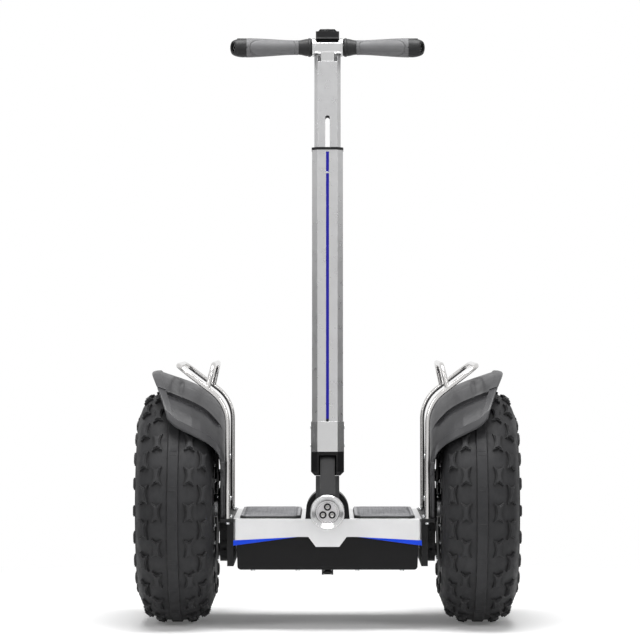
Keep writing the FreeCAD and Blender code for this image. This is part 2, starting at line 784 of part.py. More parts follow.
def tyre_carcass():
    """The hollow carcass, open at the beads."""
    wall = S.tyre_wall
    curve = S.sidewall_curve
    foot = S.tyre_width / 2 * BEAD_WIDTH_SHARE
    seat = bead_radius + S.seat_gap
    crest = tread_radius - S.knob_height
    rib = [(S.rib_width / 2, crest + S.rib_rise), (S.rib_width / 2, crest)]
    outer = mirrored_profile(rib + crown(ZERO))
    inner = mirrored_profile([(across - wall / 2, up) for across, up in crown(-wall)])
    outer[-1] = (*outer[-1], curve)
    inner_path = list(reversed(inner))
    inner_path[-1] = (*inner_path[-1], wall - curve)
    corners = [
        (foot, seat, curve), *outer,
        (-foot, seat), (wall - foot, seat, wall - curve), *inner_path,
        (foot - wall, seat),
    ]
    return turned("Carcass", "XZ", "H_Axis", corners)


def crown_place(across):
    """Height of the tread's top at a distance from the tyre's middle, and its slope there."""
    (x_low, high), (x_mid, middle), (x_high, low) = crown(S.knob_height)
    if across.value < x_mid.value:
        run, fall, start, top = x_mid - x_low, high - middle, x_low, high
    else:
        run, fall, start, top = x_high - x_mid, middle - low, x_mid, middle
    height = top - (across - start) * fall / run
    return height.value, math.degrees(math.atan2(fall.value, run.value))


def flat_block(corners, low, high):
    """A straight-sided block between two heights."""
    points = [Vector(across.value, along.value, low.value) for across, along in corners]
    face = Part.Face(Part.makePolygon(points + points[:1]))
    return face.extrude(Vector(0, 0, (high - low).value))


def knob(side, row):
    """A waisted block with notched ends, square to the crown at the top of the wheel."""
    wide, waist = S.knob_width / 2, S.knob_waist / 2
    end, notch = S.knob_length / 2, S.knob_length / 2 - S.knob_notch
    outline = (
        (wide, -end), (waist, ZERO), (wide, end), (ZERO, notch),
        (-wide, end), (-waist, ZERO), (-wide, -end), (ZERO, -notch),
    )
    height, slope = crown_place(row)
    fall = tread_radius - root(tread_radius * tread_radius - end * end)
    block = flat_block(outline, -S.knob_height - S.tyre_wall / 2, -fall)
    block.rotate(Vector(), Vector(0, 1, 0), slope * side)
    block.translate(Vector(row.value * side, 0, height))
    return block


def side_lug(side):
    """A lug that runs from the edge of the crown down the side wall."""
    half, sink = S.tyre_width / 2, S.tyre_wall / 2
    edge, edge_height = crown(ZERO)[-1]
    outer = half + S.lug_rise
    outline = (
        (half - sink, lug_foot), (outer, lug_foot), (outer, lug_top),
        (edge + S.lug_rise, edge_height), (edge - sink, edge_height - sink),
    )
    start = -S.lug_length / 2
    points = [Vector((across * side).value, start.value, up.value) for across, up in outline]
    face = Part.Face(Part.makePolygon(points + points[:1]))
    return face.extrude(Vector(0, S.lug_length.value, 0))


def tread_blocks():
    """Two rows of knobs on each side of the middle and lugs on both shoulders."""
    count = int(S.knob_count.value)
    pitch = 360 / count
    pieces = []
    for side in (1, -1):
        pieces.append((knob(side, S.inner_row), 0))
        pieces.append((knob(side, S.outer_row), pitch / 2))
        pieces.append((side_lug(side), 0))
    blocks = []
    for block, turn in pieces:
        for step in range(count):
            copy = block.copy()
            copy.rotate(Vector(), Vector(1, 0, 0), turn + step * pitch)
            blocks.append(copy)
    return Part.makeCompound(blocks)


def at_wheel(item):
    return place(item, wheel_place, ZERO, axle_height)


def tyre():
    carcass = tyre_carcass()
    blocks = shaped("TreadBlocks", tread_blocks())
    return at_wheel(fuse(carcass, blocks))


def spread(item, count, circle, start=0):
    """Copies of a bore or bolt round the X axis, on a circle."""
    copies = []
    number = int(count.value)
    for step in range(number):
        turn = as_size(360) * step / count + start
        copy = item(-sine(turn) * circle / 2, cosine(turn) * circle / 2)
        copies.append(copy)
    return copies


def rim():
    """Barrel, flanges, disc with windows, and the ring bolted to the inner side."""
    half, flange = S.rim_width / 2, S.rim_flange
    rise = bead_radius + S.rim_flange_rise
    inside = bead_radius - S.rim_wall
    ring = S.rim_ring_bore / 2
    bore = S.hub_spigot / 2 + S.seat_gap
    disc_low, disc_high = ZERO, S.rim_disc
    body = turned("Rim", "XZ", "H_Axis", [
        (-half, ring), (flange - half, ring), (flange - half, inside), (disc_low, inside),
        (disc_low, bore), (disc_high, bore), (disc_high, inside), (half, inside),
        (half, rise), (half - flange, rise), (half - flange, bead_radius),
        (flange - half, bead_radius), (flange - half, rise), (-half, rise),
    ])
    holes = spread(
        lambda y, z: (y, z, S.rim_window / 2), S.window_count, S.rim_window_circle,
        as_size(180) / S.window_count
    )
    holes += spread(
        lambda y, z: (y, z, S.hub_bolt / 2 + S.bolt_gap), S.hub_bolt_count, S.hub_bolt_circle
    )
    pocket(body, "YZ", disc_low - S.overrun, disc_high + S.overrun, circles=holes)
    ring_holes = spread(
        lambda y, z: (y, z, S.ring_bolt / 2 + S.bolt_gap), S.ring_bolt_count, S.ring_bolt_circle
    )
    pocket(body, "YZ", -half - S.overrun, flange - half, circles=ring_holes)
    valve_hole = (S.valve_place, ZERO, S.valve_stem / 2 + S.bolt_gap)
    pocket(body, "XY", -rise - S.overrun, -ring, circles=[valve_hole])
    return at_wheel(body)


def hub():
    """Output shaft, barrel, flange and spigot, turned from one piece."""
    shaft, barrel = S.axle_shaft / 2, S.hub_barrel / 2
    flange, spigot = S.hub_flange / 2, S.hub_spigot / 2
    shaft_start = web_face + S.case_back + S.moving_gap - wheel_place
    barrel_start = case_face + S.boss_height + S.moving_gap - wheel_place
    body = turned("Hub", "XZ", "H_Axis", [
        (shaft_start, ZERO), (S.hub_spigot_reach, ZERO), (S.hub_spigot_reach, spigot),
        (ZERO, spigot), (ZERO, flange), (-S.hub_flange_thickness, flange),
        (-S.hub_flange_thickness, barrel), (barrel_start, barrel), (barrel_start, shaft),
        (shaft_start, shaft),
    ])
    holes = spread(
        lambda y, z: (y, z, S.hub_bolt / 2 + S.bolt_gap), S.hub_bolt_count, S.hub_bolt_circle
    )
    low = -S.hub_flange_thickness - S.overrun
    pocket(body, "YZ", low, ZERO, circles=holes)
    return at_wheel(body)


def hub_cap():
    """A domed cap round the spigot, seated on the disc."""
    start = S.rim_disc
    radius, wall = S.hub_cap / 2, S.hub_cap_wall
    top = start + S.hub_cap_height
    crown_radius = radius / 2
    body = turned("HubCap", "XZ", "H_Axis", [
        (start, radius - wall), (top - wall, crown_radius), (top - wall, ZERO),
        (top, ZERO), (top, crown_radius), (top - wall, crown_radius + wall * 2),
        (start, radius),
    ])
    return at_wheel(body)


def wheel_bolts():
    """Bolts of the inner ring and bolts that hold the rim to the hub."""
    half = S.rim_width / 2

    def ring_bolt(y, z):
        head = hexagon_rod(
            "X", -half - S.ring_bolt_head_height, y, z, S.ring_bolt_head,
            S.ring_bolt_head_height,
        )
        return fuse(head, rod("X", -half, y, z, S.ring_bolt / 2, S.rim_flange))

    def hub_bolt(y, z):
        head = hexagon_rod("X", S.rim_disc, y, z, S.hub_bolt_head, S.hub_bolt_head_height)
        length = S.rim_disc + S.hub_flange_thickness
        return fuse(head, rod("X", -S.hub_flange_thickness, y, z, S.hub_bolt / 2, length))

    bolts = spread(ring_bolt, S.ring_bolt_count, S.ring_bolt_circle)
    bolts += spread(hub_bolt, S.hub_bolt_count, S.hub_bolt_circle)
    return at_wheel(group(*bolts))


def valve():
    """A snap-in valve: a foot inside the tyre and a stem through the barrel."""
    foot_top = -bead_radius - S.valve_foot_height
    foot = rod("Z", S.valve_place, ZERO, foot_top, S.valve_foot / 2, S.valve_foot_height)
    stem_length = S.valve_foot_height + S.rim_wall + S.valve_reach
    stem = rod("Z", S.valve_place, ZERO, foot_top, S.valve_stem / 2, stem_length)
    return at_wheel(fuse(foot, stem))


for name, piece in (
    ("tyre", tyre()),
    ("rim", rim()),
    ("hub", hub()),
    ("hub_cap", hub_cap()),
    ("wheel_bolts", wheel_bolts()),
    ("valve", valve()),
):
    node(piece, f"{name}_left")
    mirror(piece, f"{name}_right")


# Base: deck frame, tub and what they hold

def deck_frame():
    """Cast tray turned upside down: top plate, end walls and the front panel with its nose."""
    front, back, wall = -S.deck_front, S.deck_back, S.deck_wall
    nose_low = deck_top - S.panel_nose_height
    end_low = deck_top - S.panel_end_height
    mid_low = deck_top - S.panel_mid_height
    outline = rectangle(-deck_end, deck_end, front, back)
    body = prism("DeckFrame", "XY", nose_low, deck_top, outline)
    round_edges(body, S.deck_corner, lambda edge: upright(edge))
    inside = rectangle(wall - deck_end, deck_end - wall, front + wall, back - wall)
    pocket(body, "XY", nose_low - S.overrun, plate_underside, inside)
    below = nose_low - S.overrun
    far = deck_end + S.overrun
    pocket(body, "XZ", front + wall, back + S.overrun, rectangle(-far, far, below, end_low))
    foot, top = S.nose_bottom_width / 2, S.nose_top_width / 2
    for side in (1, -1):
        edge = (
            (foot * side, below), (far * side, below), (far * side, end_low),
            (S.light_start * side, mid_low), (top * side, mid_low), (foot * side, nose_low),
        )
        corners = edge if side == 1 else tuple(reversed(edge))
        pocket(body, "XZ", front - S.overrun, front + wall + S.overrun, corners)
    floor = deck_top - S.mat_recess
    for side in (1, -1):
        outline = mat_outline(side, S.mat_gap)
        pocket(body, "XY", floor, deck_top + S.overrun, outline)
    pin_holes = [(x, y, S.mat_pin / 2 + S.moving_gap) for x, y in mat_pins()]
    pocket(body, "XY", plate_underside - S.overrun, deck_top, circles=pin_holes)
    root_half = S.housing_root_width / 2 + S.seat_gap
    root_front, root_back = housing_root()
    hole = rectangle(-root_half, root_half, root_front - S.seat_gap, root_back + S.seat_gap)
    pocket(body, "XY", plate_underside - S.overrun, deck_top + S.overrun, hole)
    nose_hole = (ZERO, motor_height, S.motor_nose / 2 + S.moving_gap)
    pocket(body, "YZ", -far, far, circles=[nose_hole])
    port = (port_place, port_height, S.port_barrel / 2 + S.seat_gap)
    pocket(body, "XZ", back - wall - S.overrun, back + S.overrun, circles=[port])
    return body


def upright(edge):
    ends = edge.Vertexes
    return len(ends) == 2 and ends[0].Point.distanceToPoint(ends[1].Point) > 0 and (
        abs(ends[0].X - ends[1].X) + abs(ends[0].Y - ends[1].Y) < SAME_PLACE
    )


def mat_outline(side, gap):
    """A mat seen from above, with cut corners, grown by a gap all round."""
    low, high = S.mat_inner - gap, mat_outer + gap
    front, back = -(S.mat_front + gap), S.mat_back + gap
    bevel = S.mat_chamfer
    corners = (
        (low + bevel, front), (high - bevel, front), (high, front + bevel),
        (high, back - bevel), (high - bevel, back), (low + bevel, back),
        (low, back - bevel), (low, front + bevel),
    )
    if side == 1:
        return corners
    return tuple((-x, y) for x, y in reversed(corners))


def mat_pins():
    """Where the guide pins of both mats go through the deck."""
    places = []
    for side in (1, -1):
        for x in (S.mat_inner + S.mat_pin_inset, mat_outer - S.mat_pin_inset):
            for y in (S.mat_pin_inset - S.mat_front, S.mat_back - S.mat_pin_inset):
                places.append((x * side, y))
    return places


def foot_mat():
    """Rubber mat with cut corners, cross ribs and four guide pins."""
    low = mat_underside
    high = low + S.mat_thickness - S.mat_rib_height
    body = prism("FootMat", "XY", low, high, mat_outline(1, ZERO))
    bevel = S.mat_chamfer
    span = S.mat_front + S.mat_back - bevel * 2
    step = span / (S.mat_rib_count - 1)
    middle = (S.mat_inner + mat_outer) / 2
    half = (mat_outer - S.mat_inner) / 2 - bevel
    ribs = []
    for number in range(int(S.mat_rib_count.value)):
        y = step * number + bevel - S.mat_front
        ribs.append((y - S.mat_rib / 2, y + S.mat_rib / 2))
    for front, back in ribs:
        outline = rectangle(middle - half, middle + half, front, back)
        pad(body, "XY", high, high + S.mat_rib_height, outline)
    pins = [(x, y, S.mat_pin / 2) for x, y in mat_pins()[:4]]
    pad(body, "XY", low - S.mat_pin_length, low, circles=pins)
    return body


def lower_tub():
    """Moulded tub under the deck frame, drawn in towards its floor and open at the top."""
    wall = S.tub_wall
    top_half = deck_end - S.deck_wall - S.tub_step
    low_half = top_half - S.tub_draw
    front = -(S.deck_front - S.deck_wall - S.tub_step)
    back = S.deck_back - S.deck_wall - S.tub_step
    top = deck_top - S.panel_end_height + S.tub_lap
    outline = (
        (-low_half, tub_bottom), (low_half, tub_bottom), (top_half, top), (-top_half, top)
    )
    body = prism("LowerTub", "XZ", front, back, outline)
    floor = tub_bottom.value + SAME_PLACE
    round_edges(
        body, S.tub_corner, lambda edge: max(v.Z for v in edge.Vertexes) < floor
    )
    inner = low_half - wall
    inside = rectangle(-inner, inner, front + wall, back - wall)
    pocket(body, "XY", tub_bottom + wall, top + S.overrun, inside)
    hole = (ZERO, motor_height, S.motor_nose / 2 + S.moving_gap)
    pocket(body, "YZ", -deck_end, deck_end, circles=[hole])
    port = (port_place, port_height, S.port_barrel / 2 + S.moving_gap)
    pocket(body, "XZ", back - wall - S.overrun, back + S.overrun, circles=[port])
    return body


def front_lights():
    """Two long wedges of light under the front panel."""
    end_low = deck_top - S.panel_end_height
    mid_low = deck_top - S.panel_mid_height
    front = -S.deck_front
    wedges = []
    for side in (1, -1):
        corners = (
            (S.light_start * side, mid_low), (deck_end * side, end_low - S.light_height),
            (deck_end * side, end_low),
        )
        corners = corners if side == 1 else tuple(reversed(corners))
        wedges.append(prism("LightWedge", "XZ", front, front + S.light_depth, corners))
    return group(*wedges)


def battery():
    half = motor_end - S.motor_length - S.battery_gap
    middle, depth = S.battery_setback, S.battery_depth / 2
    low = tub_bottom + S.tub_wall
    outline = rectangle(-half, half, middle - depth, middle + depth)
    body = prism("Battery", "XY", low, low + S.battery_height, outline)
    round_edges(body, S.battery_round, upright)
    return body


def circuit_board(name, x_half, y_low, y_high, chips):
    """A board that hangs under the deck plate on four posts, with its parts below."""
    top = plate_underside - S.board_drop
    low = top - S.board_thickness
    body = prism(name, "XY", low, top, rectangle(-x_half, x_half, y_low, y_high))
    inset = S.post_size
    posts = [
        (x, y, S.post_size / 2)
        for x in (inset - x_half, x_half - inset)
        for y in (y_low + inset, y_high - inset)
    ]
    pad(body, "XY", top, plate_underside, circles=posts)
    for outline in chips:
        pad(body, "XY", low - S.chip_height, low, outline)
    return body


def control_board():
    """Motor controller: its power transistors stand in two rows."""
    half = S.control_width / 2
    back, front = S.control_back, S.control_back - S.control_depth
    size, pitch = S.chip_size, S.chip_size * 2
    columns = int(S.chip_columns.value)
    chips = []
    for row in (front + pitch, back - pitch):
        for column in range(columns):
            x = pitch * (as_size(column) - (S.chip_columns - 1) / 2)
            chips.append(rectangle(x - size / 2, x + size / 2, row - size / 2, row + size / 2))
    return circuit_board("ControlBoard", half, front, back, chips)


def balance_sensor():
    half = S.sensor_size / 2
    middle, chip = -S.sensor_front, S.chip_size / 2
    chips = [rectangle(-chip, chip, middle - chip, middle + chip)]
    return circuit_board("BalanceSensor", half, middle - half, middle + half, chips)


def foot_switches():
    """Four plunger switches on the underside of the deck, round the mats' pins."""
    half = S.switch_body / 2
    low = plate_underside - S.switch_height
    bottom = mat_underside - S.mat_pin_length - S.mat_travel - S.moving_gap
    switches = []
    for x, y in mat_pins():
        outline = rectangle(x - half, x + half, y - half, y + half)
        body = prism("FootSwitch", "XY", low, plate_underside, outline)
        bore = [(x, y, S.mat_pin / 2 + S.moving_gap)]
        pocket(body, "XY", bottom, plate_underside + S.overrun, circles=bore)
        switches.append(body)
    return group(*switches)


def side_bracket():
    """T-shaped bracket on the deck's end: it carries gearbox, motor, fender and rail."""
    half, web_half = S.bracket_half, S.bracket_web_half
    flange_low = deck_top - S.bracket_flange
    reach = deck_end + S.bracket_reach
    body = prism(
        "SideBracket", "XY", flange_low, deck_top, rectangle(deck_end, reach, -half, half)
    )
    web = rectangle(deck_end, web_face, -web_half, web_half)
    pad(body, "XY", bracket_bottom, flange_low, web)
    room = S.gearbox_top_radius + S.overrun
    notch = rectangle(web_face, reach + S.overrun, -room, room)
    pocket(body, "XY", flange_low - S.overrun, deck_top + S.overrun, notch)
    hole = (ZERO, motor_height, S.motor_nose / 2 + S.seat_gap)
    pocket(body, "YZ", deck_end - S.overrun, reach, circles=[hole])
    bolts = [
        (rail_place, y, S.rail_bolt / 2 + S.bolt_gap) for y in (-S.rail_half, S.rail_half)
    ]
    pocket(body, "XY", flange_low - S.overrun, deck_top + S.overrun, circles=bolts)
    return body


def gearbox():
    """Case from the motor shaft up to the axle, with ribs and a bearing boss."""
    low_radius, top_radius = S.gearbox_low_radius, S.gearbox_top_radius
    outline = (
        (-low_radius, motor_height, low_radius),
        (ZERO, motor_height - low_radius, low_radius), (low_radius, motor_height),
        (top_radius, axle_height, top_radius),
        (ZERO, axle_height + top_radius, top_radius), (-top_radius, axle_height),
    )
    body = prism("Gearbox", "YZ", web_face, case_face, outline)
    middle = (web_face + case_face) / 2
    for step in range(int(S.gearbox_rib_count.value)):
        height = motor_height - low_radius / 2 + S.gearbox_rib_pitch * step
        rib = rectangle(
            -low_radius - S.gearbox_rib, low_radius + S.gearbox_rib,
            height, height + S.gearbox_rib,
        )
        pad(body, "YZ", middle - S.gearbox_rib, middle + S.gearbox_rib, rib)
    boss = (ZERO, axle_height, S.boss_diameter / 2)
    pad(body, "YZ", case_face, case_face + S.boss_height, circles=[boss])
    seat = (ZERO, axle_height, S.axle_bearing / 2 + S.seat_gap)
    pocket(body, "YZ", web_face + S.case_back, bearing_end, circles=[seat])
    shaft = (ZERO, axle_height, S.axle_shaft / 2 + S.moving_gap)
    pocket(body, "YZ", bearing_end - S.overrun, case_face + S.boss_height + S.overrun,
           circles=[shaft])
    return body


def axle_bearings():
    """Two ball bearings side by side in each gearbox, each as one ring."""
    rings = []
    for number in range(2):
        start = web_face + S.case_back + S.axle_bearing_width * number
        outer = S.axle_bearing / 2
        inner = S.axle_shaft / 2 + S.running_fit
        ring = turned("AxleBearing", "XZ", "H_Axis", [
            (start, inner), (start + S.axle_bearing_width - S.seat_gap, inner),
            (start + S.axle_bearing_width - S.seat_gap, outer), (start, outer),
        ])
        rings.append(place(ring, ZERO, ZERO, axle_height))
    return pair(group(*rings))


def motors():
    """Ribbed motor cans inside the tub, each with a nose through the side bracket."""
    nose_end, can_end = web_face, motor_end
    can_start = can_end - S.motor_length
    radius, nose = S.motor_diameter / 2, S.motor_nose / 2
    step = S.motor_length / (S.motor_rib_count * 2 + 1)
    corners = [(can_start, ZERO), (nose_end, ZERO), (nose_end, nose), (can_end, nose)]
    corners.append((can_end, radius))
    for number in range(int(S.motor_rib_count.value)):
        rib_end = can_end - step * (number * 2 + 1)
        corners += [
            (rib_end, radius), (rib_end, radius + S.motor_rib),
            (rib_end - step, radius + S.motor_rib), (rib_end - step, radius),
        ]
    corners.append((can_start, radius))
    return pair(place(turned("Motor", "XZ", "H_Axis", corners), ZERO, ZERO, motor_height))


def charge_port():
    """Socket in the back wall, with two lugs for its cap."""
    back, radius = S.deck_back, S.port_diameter / 2
    face = back + S.port_reach
    x, z = port_place, port_height
    body = prism("ChargePort", "XZ", back, face, circles=[(x, z, radius)])
    pad(body, "XZ", back - S.port_depth, back, circles=[(x, z, S.port_barrel / 2)])
    lug_high = cap_hinge_height + S.cap_lug_reach
    for side in (1, -1):
        low, high = sorted_pair(x + S.cap_lug_gap * side, x + (S.cap_lug_gap + S.cap_lug) * side)
        pad(body, "XZ", back, face, rectangle(low, high, z + radius / 2, lug_high))
        lug = rectangle(low, high, cap_hinge_height - S.cap_lug_reach, lug_high)
        pad(body, "XZ", back, cap_hinge_y + S.cap_lug_reach, lug)
    pocket(body, "XZ", back - S.port_depth / 2, face + S.overrun,
           circles=[(x, z, S.port_hole / 2)])
    pin = rod("X", x - S.cap_lug_gap - S.cap_lug, cap_hinge_y, cap_hinge_height,
              S.cap_pin / 2, (S.cap_lug_gap + S.cap_lug) * 2)
    return fuse(body, pin)


def sorted_pair(one, other):
    return (one, other) if one.value < other.value else (other, one)


def charge_cap():
    """Cap over the socket, with a barrel on the hinge pin."""
    x, z = port_place, port_height
    start = S.deck_back + S.port_reach + S.moving_gap
    body = prism("ChargeCap", "XZ", start, start + S.cap_thickness,
                 circles=[(x, z, S.port_diameter / 2)])
    reach = S.cap_lug_gap - S.moving_gap
    tongue = rectangle(x - reach, x + reach, z + S.port_hole / 2, cap_hinge_height)
    pad(body, "XZ", start, start + S.cap_thickness, tongue)
    barrel = rod("X", x - reach, cap_hinge_y, cap_hinge_height, S.cap_pin, reach * 2)
    hole = rod("X", x - reach - S.overrun, cap_hinge_y, cap_hinge_height,
               S.cap_pin / 2 + S.running_fit, (reach + S.overrun) * 2)
    return cut(fuse(body, barrel), hole)


def stand_bracket():
    """Plate and two ears under the tub, with the pin riveted through them."""
    half, ear = S.stand_width / 2, S.stand_ear
    middle, top = -S.stand_front, tub_bottom
    length = S.stand_drop + S.stand_pin
    body = prism("StandBracket", "XY", top - S.stand_plate, top,
                 rectangle(-half, half, middle - length, middle + length))
    for side in (1, -1):
        low, high = sorted_pair((half - ear) * side, half * side)
        outline = rectangle(low, high, middle - S.stand_drop, middle + S.stand_drop)
        pad(body, "XY", stand_height - S.stand_pin, top - S.stand_plate, outline)
    pin = rod("X", -half, middle, stand_height, S.stand_pin / 2, S.stand_width)
    return fuse(body, pin)


def stand_leg():
    """Leg folded back under the tub, with its hub on the pin."""
    middle = -S.stand_front
    reach = S.stand_width / 2 - S.stand_ear - S.moving_gap
    hub_radius = S.stand_drop - S.stand_plate - S.moving_gap
    hub_piece = rod("X", -reach, middle, stand_height, hub_radius, reach * 2)
    length = stand_height - S.stand_floor_gap - S.stand_foot_cap
    leg = rod("Y", ZERO, middle, stand_height, S.stand_leg / 2, length)
    hole = rod("X", -reach - S.overrun, middle, stand_height,
               S.stand_pin / 2 + S.running_fit, (reach + S.overrun) * 2)
    return cut(fuse(hub_piece, leg), hole)


def stand_foot():
    """Rubber foot drawn over the end of the leg."""
    length = stand_height - S.stand_floor_gap
    radius, leg = S.stand_foot / 2, S.stand_leg / 2
    start = length - S.stand_foot_length
    end = length - S.stand_foot_cap
    foot = turned("StandFoot", "YZ", "H_Axis", [
        (start, leg + S.seat_gap), (end + S.seat_gap, leg + S.seat_gap),
        (end + S.seat_gap, ZERO), (length, ZERO), (length, radius), (start, radius),
    ])
    return place(foot, ZERO, -S.stand_front, stand_height)


port_place = deck_end - S.port_margin
port_height = deck_top - S.port_drop
mat_underside = deck_top - S.mat_recess + S.mat_travel + S.moving_gap
bearing_end = web_face + S.case_back + S.axle_bearing_width * 2
motor_end = deck_end - S.deck_wall - S.tub_step - S.tub_draw - S.tub_wall - S.overrun
stand_height = tub_bottom - S.stand_drop
cap_hinge_height = port_height + S.port_diameter / 2 + S.cap_pin
cap_hinge_y = S.deck_back + S.port_reach + S.cap_pin + S.moving_gap


def housing_root():
    """Front and back of the pivot housing's root below the deck's top."""
    front = -(S.deck_front - S.housing_root_margin)
    return front, front + S.housing_depth - S.housing_root_margin * 2


node(deck_frame(), "deck_frame")
node(lower_tub(), "lower_tub")
node(front_lights(), "front_light_strips")
node(battery(), "battery_pack")
node(control_board(), "control_board")
node(balance_sensor(), "balance_sensor_board")
node(foot_switches(), "foot_switches")
node(axle_bearings(), "axle_bearings")
node(motors(), "drive_motors")
node(charge_port(), "charge_port")
node(charge_cap(), "charge_port_cap")
node(stand_bracket(), "stand_bracket")
node(stand_leg(), "stand_leg")
node(stand_foot(), "stand_foot")
for name, piece in (
    ("foot_mat", foot_mat()),
    ("side_bracket", side_bracket()),
    ("gearbox", gearbox()),
):
    node(piece, f"{name}_left")
    mirror(piece, f"{name}_right")


# Pivot and column

def pivot_housing():
    """Round-topped housing on the deck, with a root through it and seats for two bearings."""
    radius, foot = S.housing_radius, S.housing_foot / 2
    front = S.housing_inset - S.deck_front
    back = front + S.housing_depth
    outline = (
        (-foot, deck_top), (foot, deck_top), (radius, axle_height, radius),
        (ZERO, axle_height + radius, radius), (-radius, axle_height),
    )
    body = prism("PivotHousing", "XZ", front, back, outline)
    half = S.housing_root_width / 2
    root_front, root_back = housing_root()
    root = rectangle(-half, half, root_front, root_back)
    pad(body, "XY", deck_top - S.housing_root_drop, deck_top, root)
    bore = S.pivot_bearing / 2 + S.seat_gap
    pocket(body, "XZ", front - S.overrun, back - S.housing_wall,
           circles=[(ZERO, axle_height, bore)])
    back_rim = back.value - SAME_PLACE
    round_edges(
        body, S.housing_round,
        lambda edge: min(v.Y for v in edge.Vertexes) > back_rim
        and max(v.Z for v in edge.Vertexes) > axle_height.value - SAME_PLACE
        and min(v.Z for v in edge.Vertexes) > deck_top.value + SAME_PLACE,
    )
    return body


def pivot_places():
    """Front and back of both pivot bearings."""
    front = S.housing_inset - S.deck_front + S.bearing_inset
    back = S.housing_inset - S.deck_front + S.housing_depth - S.housing_wall
    width = S.pivot_bearing_width
    return (front, front + width), (back - width, back)


def pivot_bearings():
    """Front and back bearing of the lean pivot, each as one ring."""
    rings = []
    outer, inner = S.pivot_bearing / 2, S.pivot_shaft / 2 + S.running_fit
    for low, high in pivot_places():
        ring = turned("PivotBearing", "YZ", "H_Axis", [
            (low, inner), (high, inner), (high, outer), (low, outer)
        ])
        rings.append(place(ring, ZERO, ZERO, axle_height))
    return group(*rings)


def lean_stops():
    """Rubber stops above and below the cross bar of the shaft."""
    outer = S.pivot_bearing / 2
    inner = S.stop_inner / 2
    side, rise = cosine(S.stop_angle), sine(S.stop_angle)
    low, high = dog_ends()
    stops = []
    for way in (1, -1):
        corners = (
            (outer * side * way, outer * rise * way, outer), (ZERO, outer * way, outer),
            (-outer * side * way, outer * rise * way),
            (-inner * side * way, inner * rise * way, -inner), (ZERO, inner * way, -inner),
            (inner * side * way, inner * rise * way),
        )
        stop = prism("LeanStop", "XZ", low, high, corners)
        stops.append(place(stop, ZERO, ZERO, axle_height))
    return group(*stops)


def dog_ends():
    """Front and back of the shaft's cross bar, midway between the bearings."""
    (_, front), (back, _) = pivot_places()
    middle = (front + back) / 2
    return middle - S.dog_depth / 2, middle + S.dog_depth / 2


def pivot_shaft():
    """Shaft of the lean pivot, with the cross bar that meets the rubber stops."""
    start = neck_front + S.shaft_inset
    end = pivot_places()[1][1] - S.moving_gap
    shaft = rod("Y", ZERO, start, axle_height, S.pivot_shaft / 2, end - start)
    low, high = dog_ends()
    half, rise = S.dog_width / 2, S.dog_height / 2
    bar = prism("ShaftDog", "XZ", low, high, rectangle(-half, half, -rise, rise))
    return fuse(shaft, place(bar, ZERO, ZERO, axle_height))


def in_column(item):
    """Place a piece drawn along the column on the pivot, leaning back with the column."""
    return place(item, ZERO, -S.column_front, axle_height, (1, 0, 0), -S.lean_back)


def neck():
    """Cast neck: a boss on the shaft, a wide arm and a rib that ends in a round tongue."""
    radius = S.boss_radius
    boss = rod("Y", ZERO, neck_front, axle_height, radius, S.boss_depth)
    arm = prism("NeckArm", "XY", ZERO, S.neck_shoulder, bevelled(
        S.neck_width, S.neck_depth - S.neck_bevel, S.neck_bevel
    ))
    half, front = S.neck_rib / 2, -S.neck_rib_depth / 2
    back, top = S.neck_rib_depth / 2 - S.neck_bevel, S.neck_tongue
    curve = S.neck_round
    rib = prism("NeckRib", "YZ", -half, half, (
        (front, ZERO), (back, ZERO), (back, top), (front + curve, top, curve),
        (front, top - curve),
    ))
    whole = fuse(boss, in_column(arm), in_column(rib))
    room = S.deck_front + S.boss_depth
    behind = prism("NeckRoom", "YZ", -room, room, (
        (neck_back, -room), (room, -room), (room, S.neck_shoulder), (neck_back, S.neck_shoulder),
    ))
    length = S.boss_depth + S.overrun * 2
    light_top = S.light_diameter / 2 + S.seat_gap
    in_front = prism("NeckFace", "YZ", -room, room, (
        (-room * 2, -room), (neck_front, -room), (neck_front, light_top), (-room * 2, light_top),
    ))
    bore = rod("Y", ZERO, neck_front + S.shaft_inset - S.seat_gap, axle_height,
               S.pivot_shaft / 2 + S.seat_gap, length)
    return cut(
        whole, place(behind, ZERO, ZERO, axle_height), place(in_front, ZERO, ZERO, axle_height),
        bore,
    )


def headlight_bezel():
    """Turned and polished cup with a conical mouth."""
    radius, wall = S.light_diameter / 2, S.light_wall
    back = neck_front
    front = back - S.light_length
    dish, mouth = S.dish_diameter / 2, radius - wall
    floor = front + S.dish_depth
    seat = floor + S.dish_thickness
    bezel = turned("HeadlightBezel", "YZ", "H_Axis", [
        (back, ZERO), (back, radius - wall * 2), (back - wall, radius), (front + wall / 2, radius),
        (front, radius - wall / 2), (front, mouth), (floor, dish + S.seat_gap),
        (seat, dish + S.seat_gap), (seat, ZERO),
    ])
    return place(bezel, ZERO, ZERO, axle_height)


def lens_places():
    """The lenses on their circle, the first one on top."""
    count = int(S.lens_count.value)
    return [
        (-sine(turn) * S.lens_circle / 2, cosine(turn) * S.lens_circle / 2)
        for turn in (as_size(360) * step / S.lens_count for step in range(count))
    ]


def headlight_disc():
    """Flat disc at the bottom of the cone, with a hole for each lens."""
    floor = neck_front - S.light_length + S.dish_depth
    body = prism("HeadlightDisc", "XZ", floor, floor + S.dish_thickness,
                 circles=[(ZERO, ZERO, S.dish_diameter / 2)])
    holes = [(x, z, S.lens_diameter / 2 + S.seat_gap) for x, z in lens_places()]
    pocket(body, "XZ", floor - S.overrun, floor + S.dish_thickness + S.overrun, circles=holes)
    return place(body, ZERO, ZERO, axle_height)


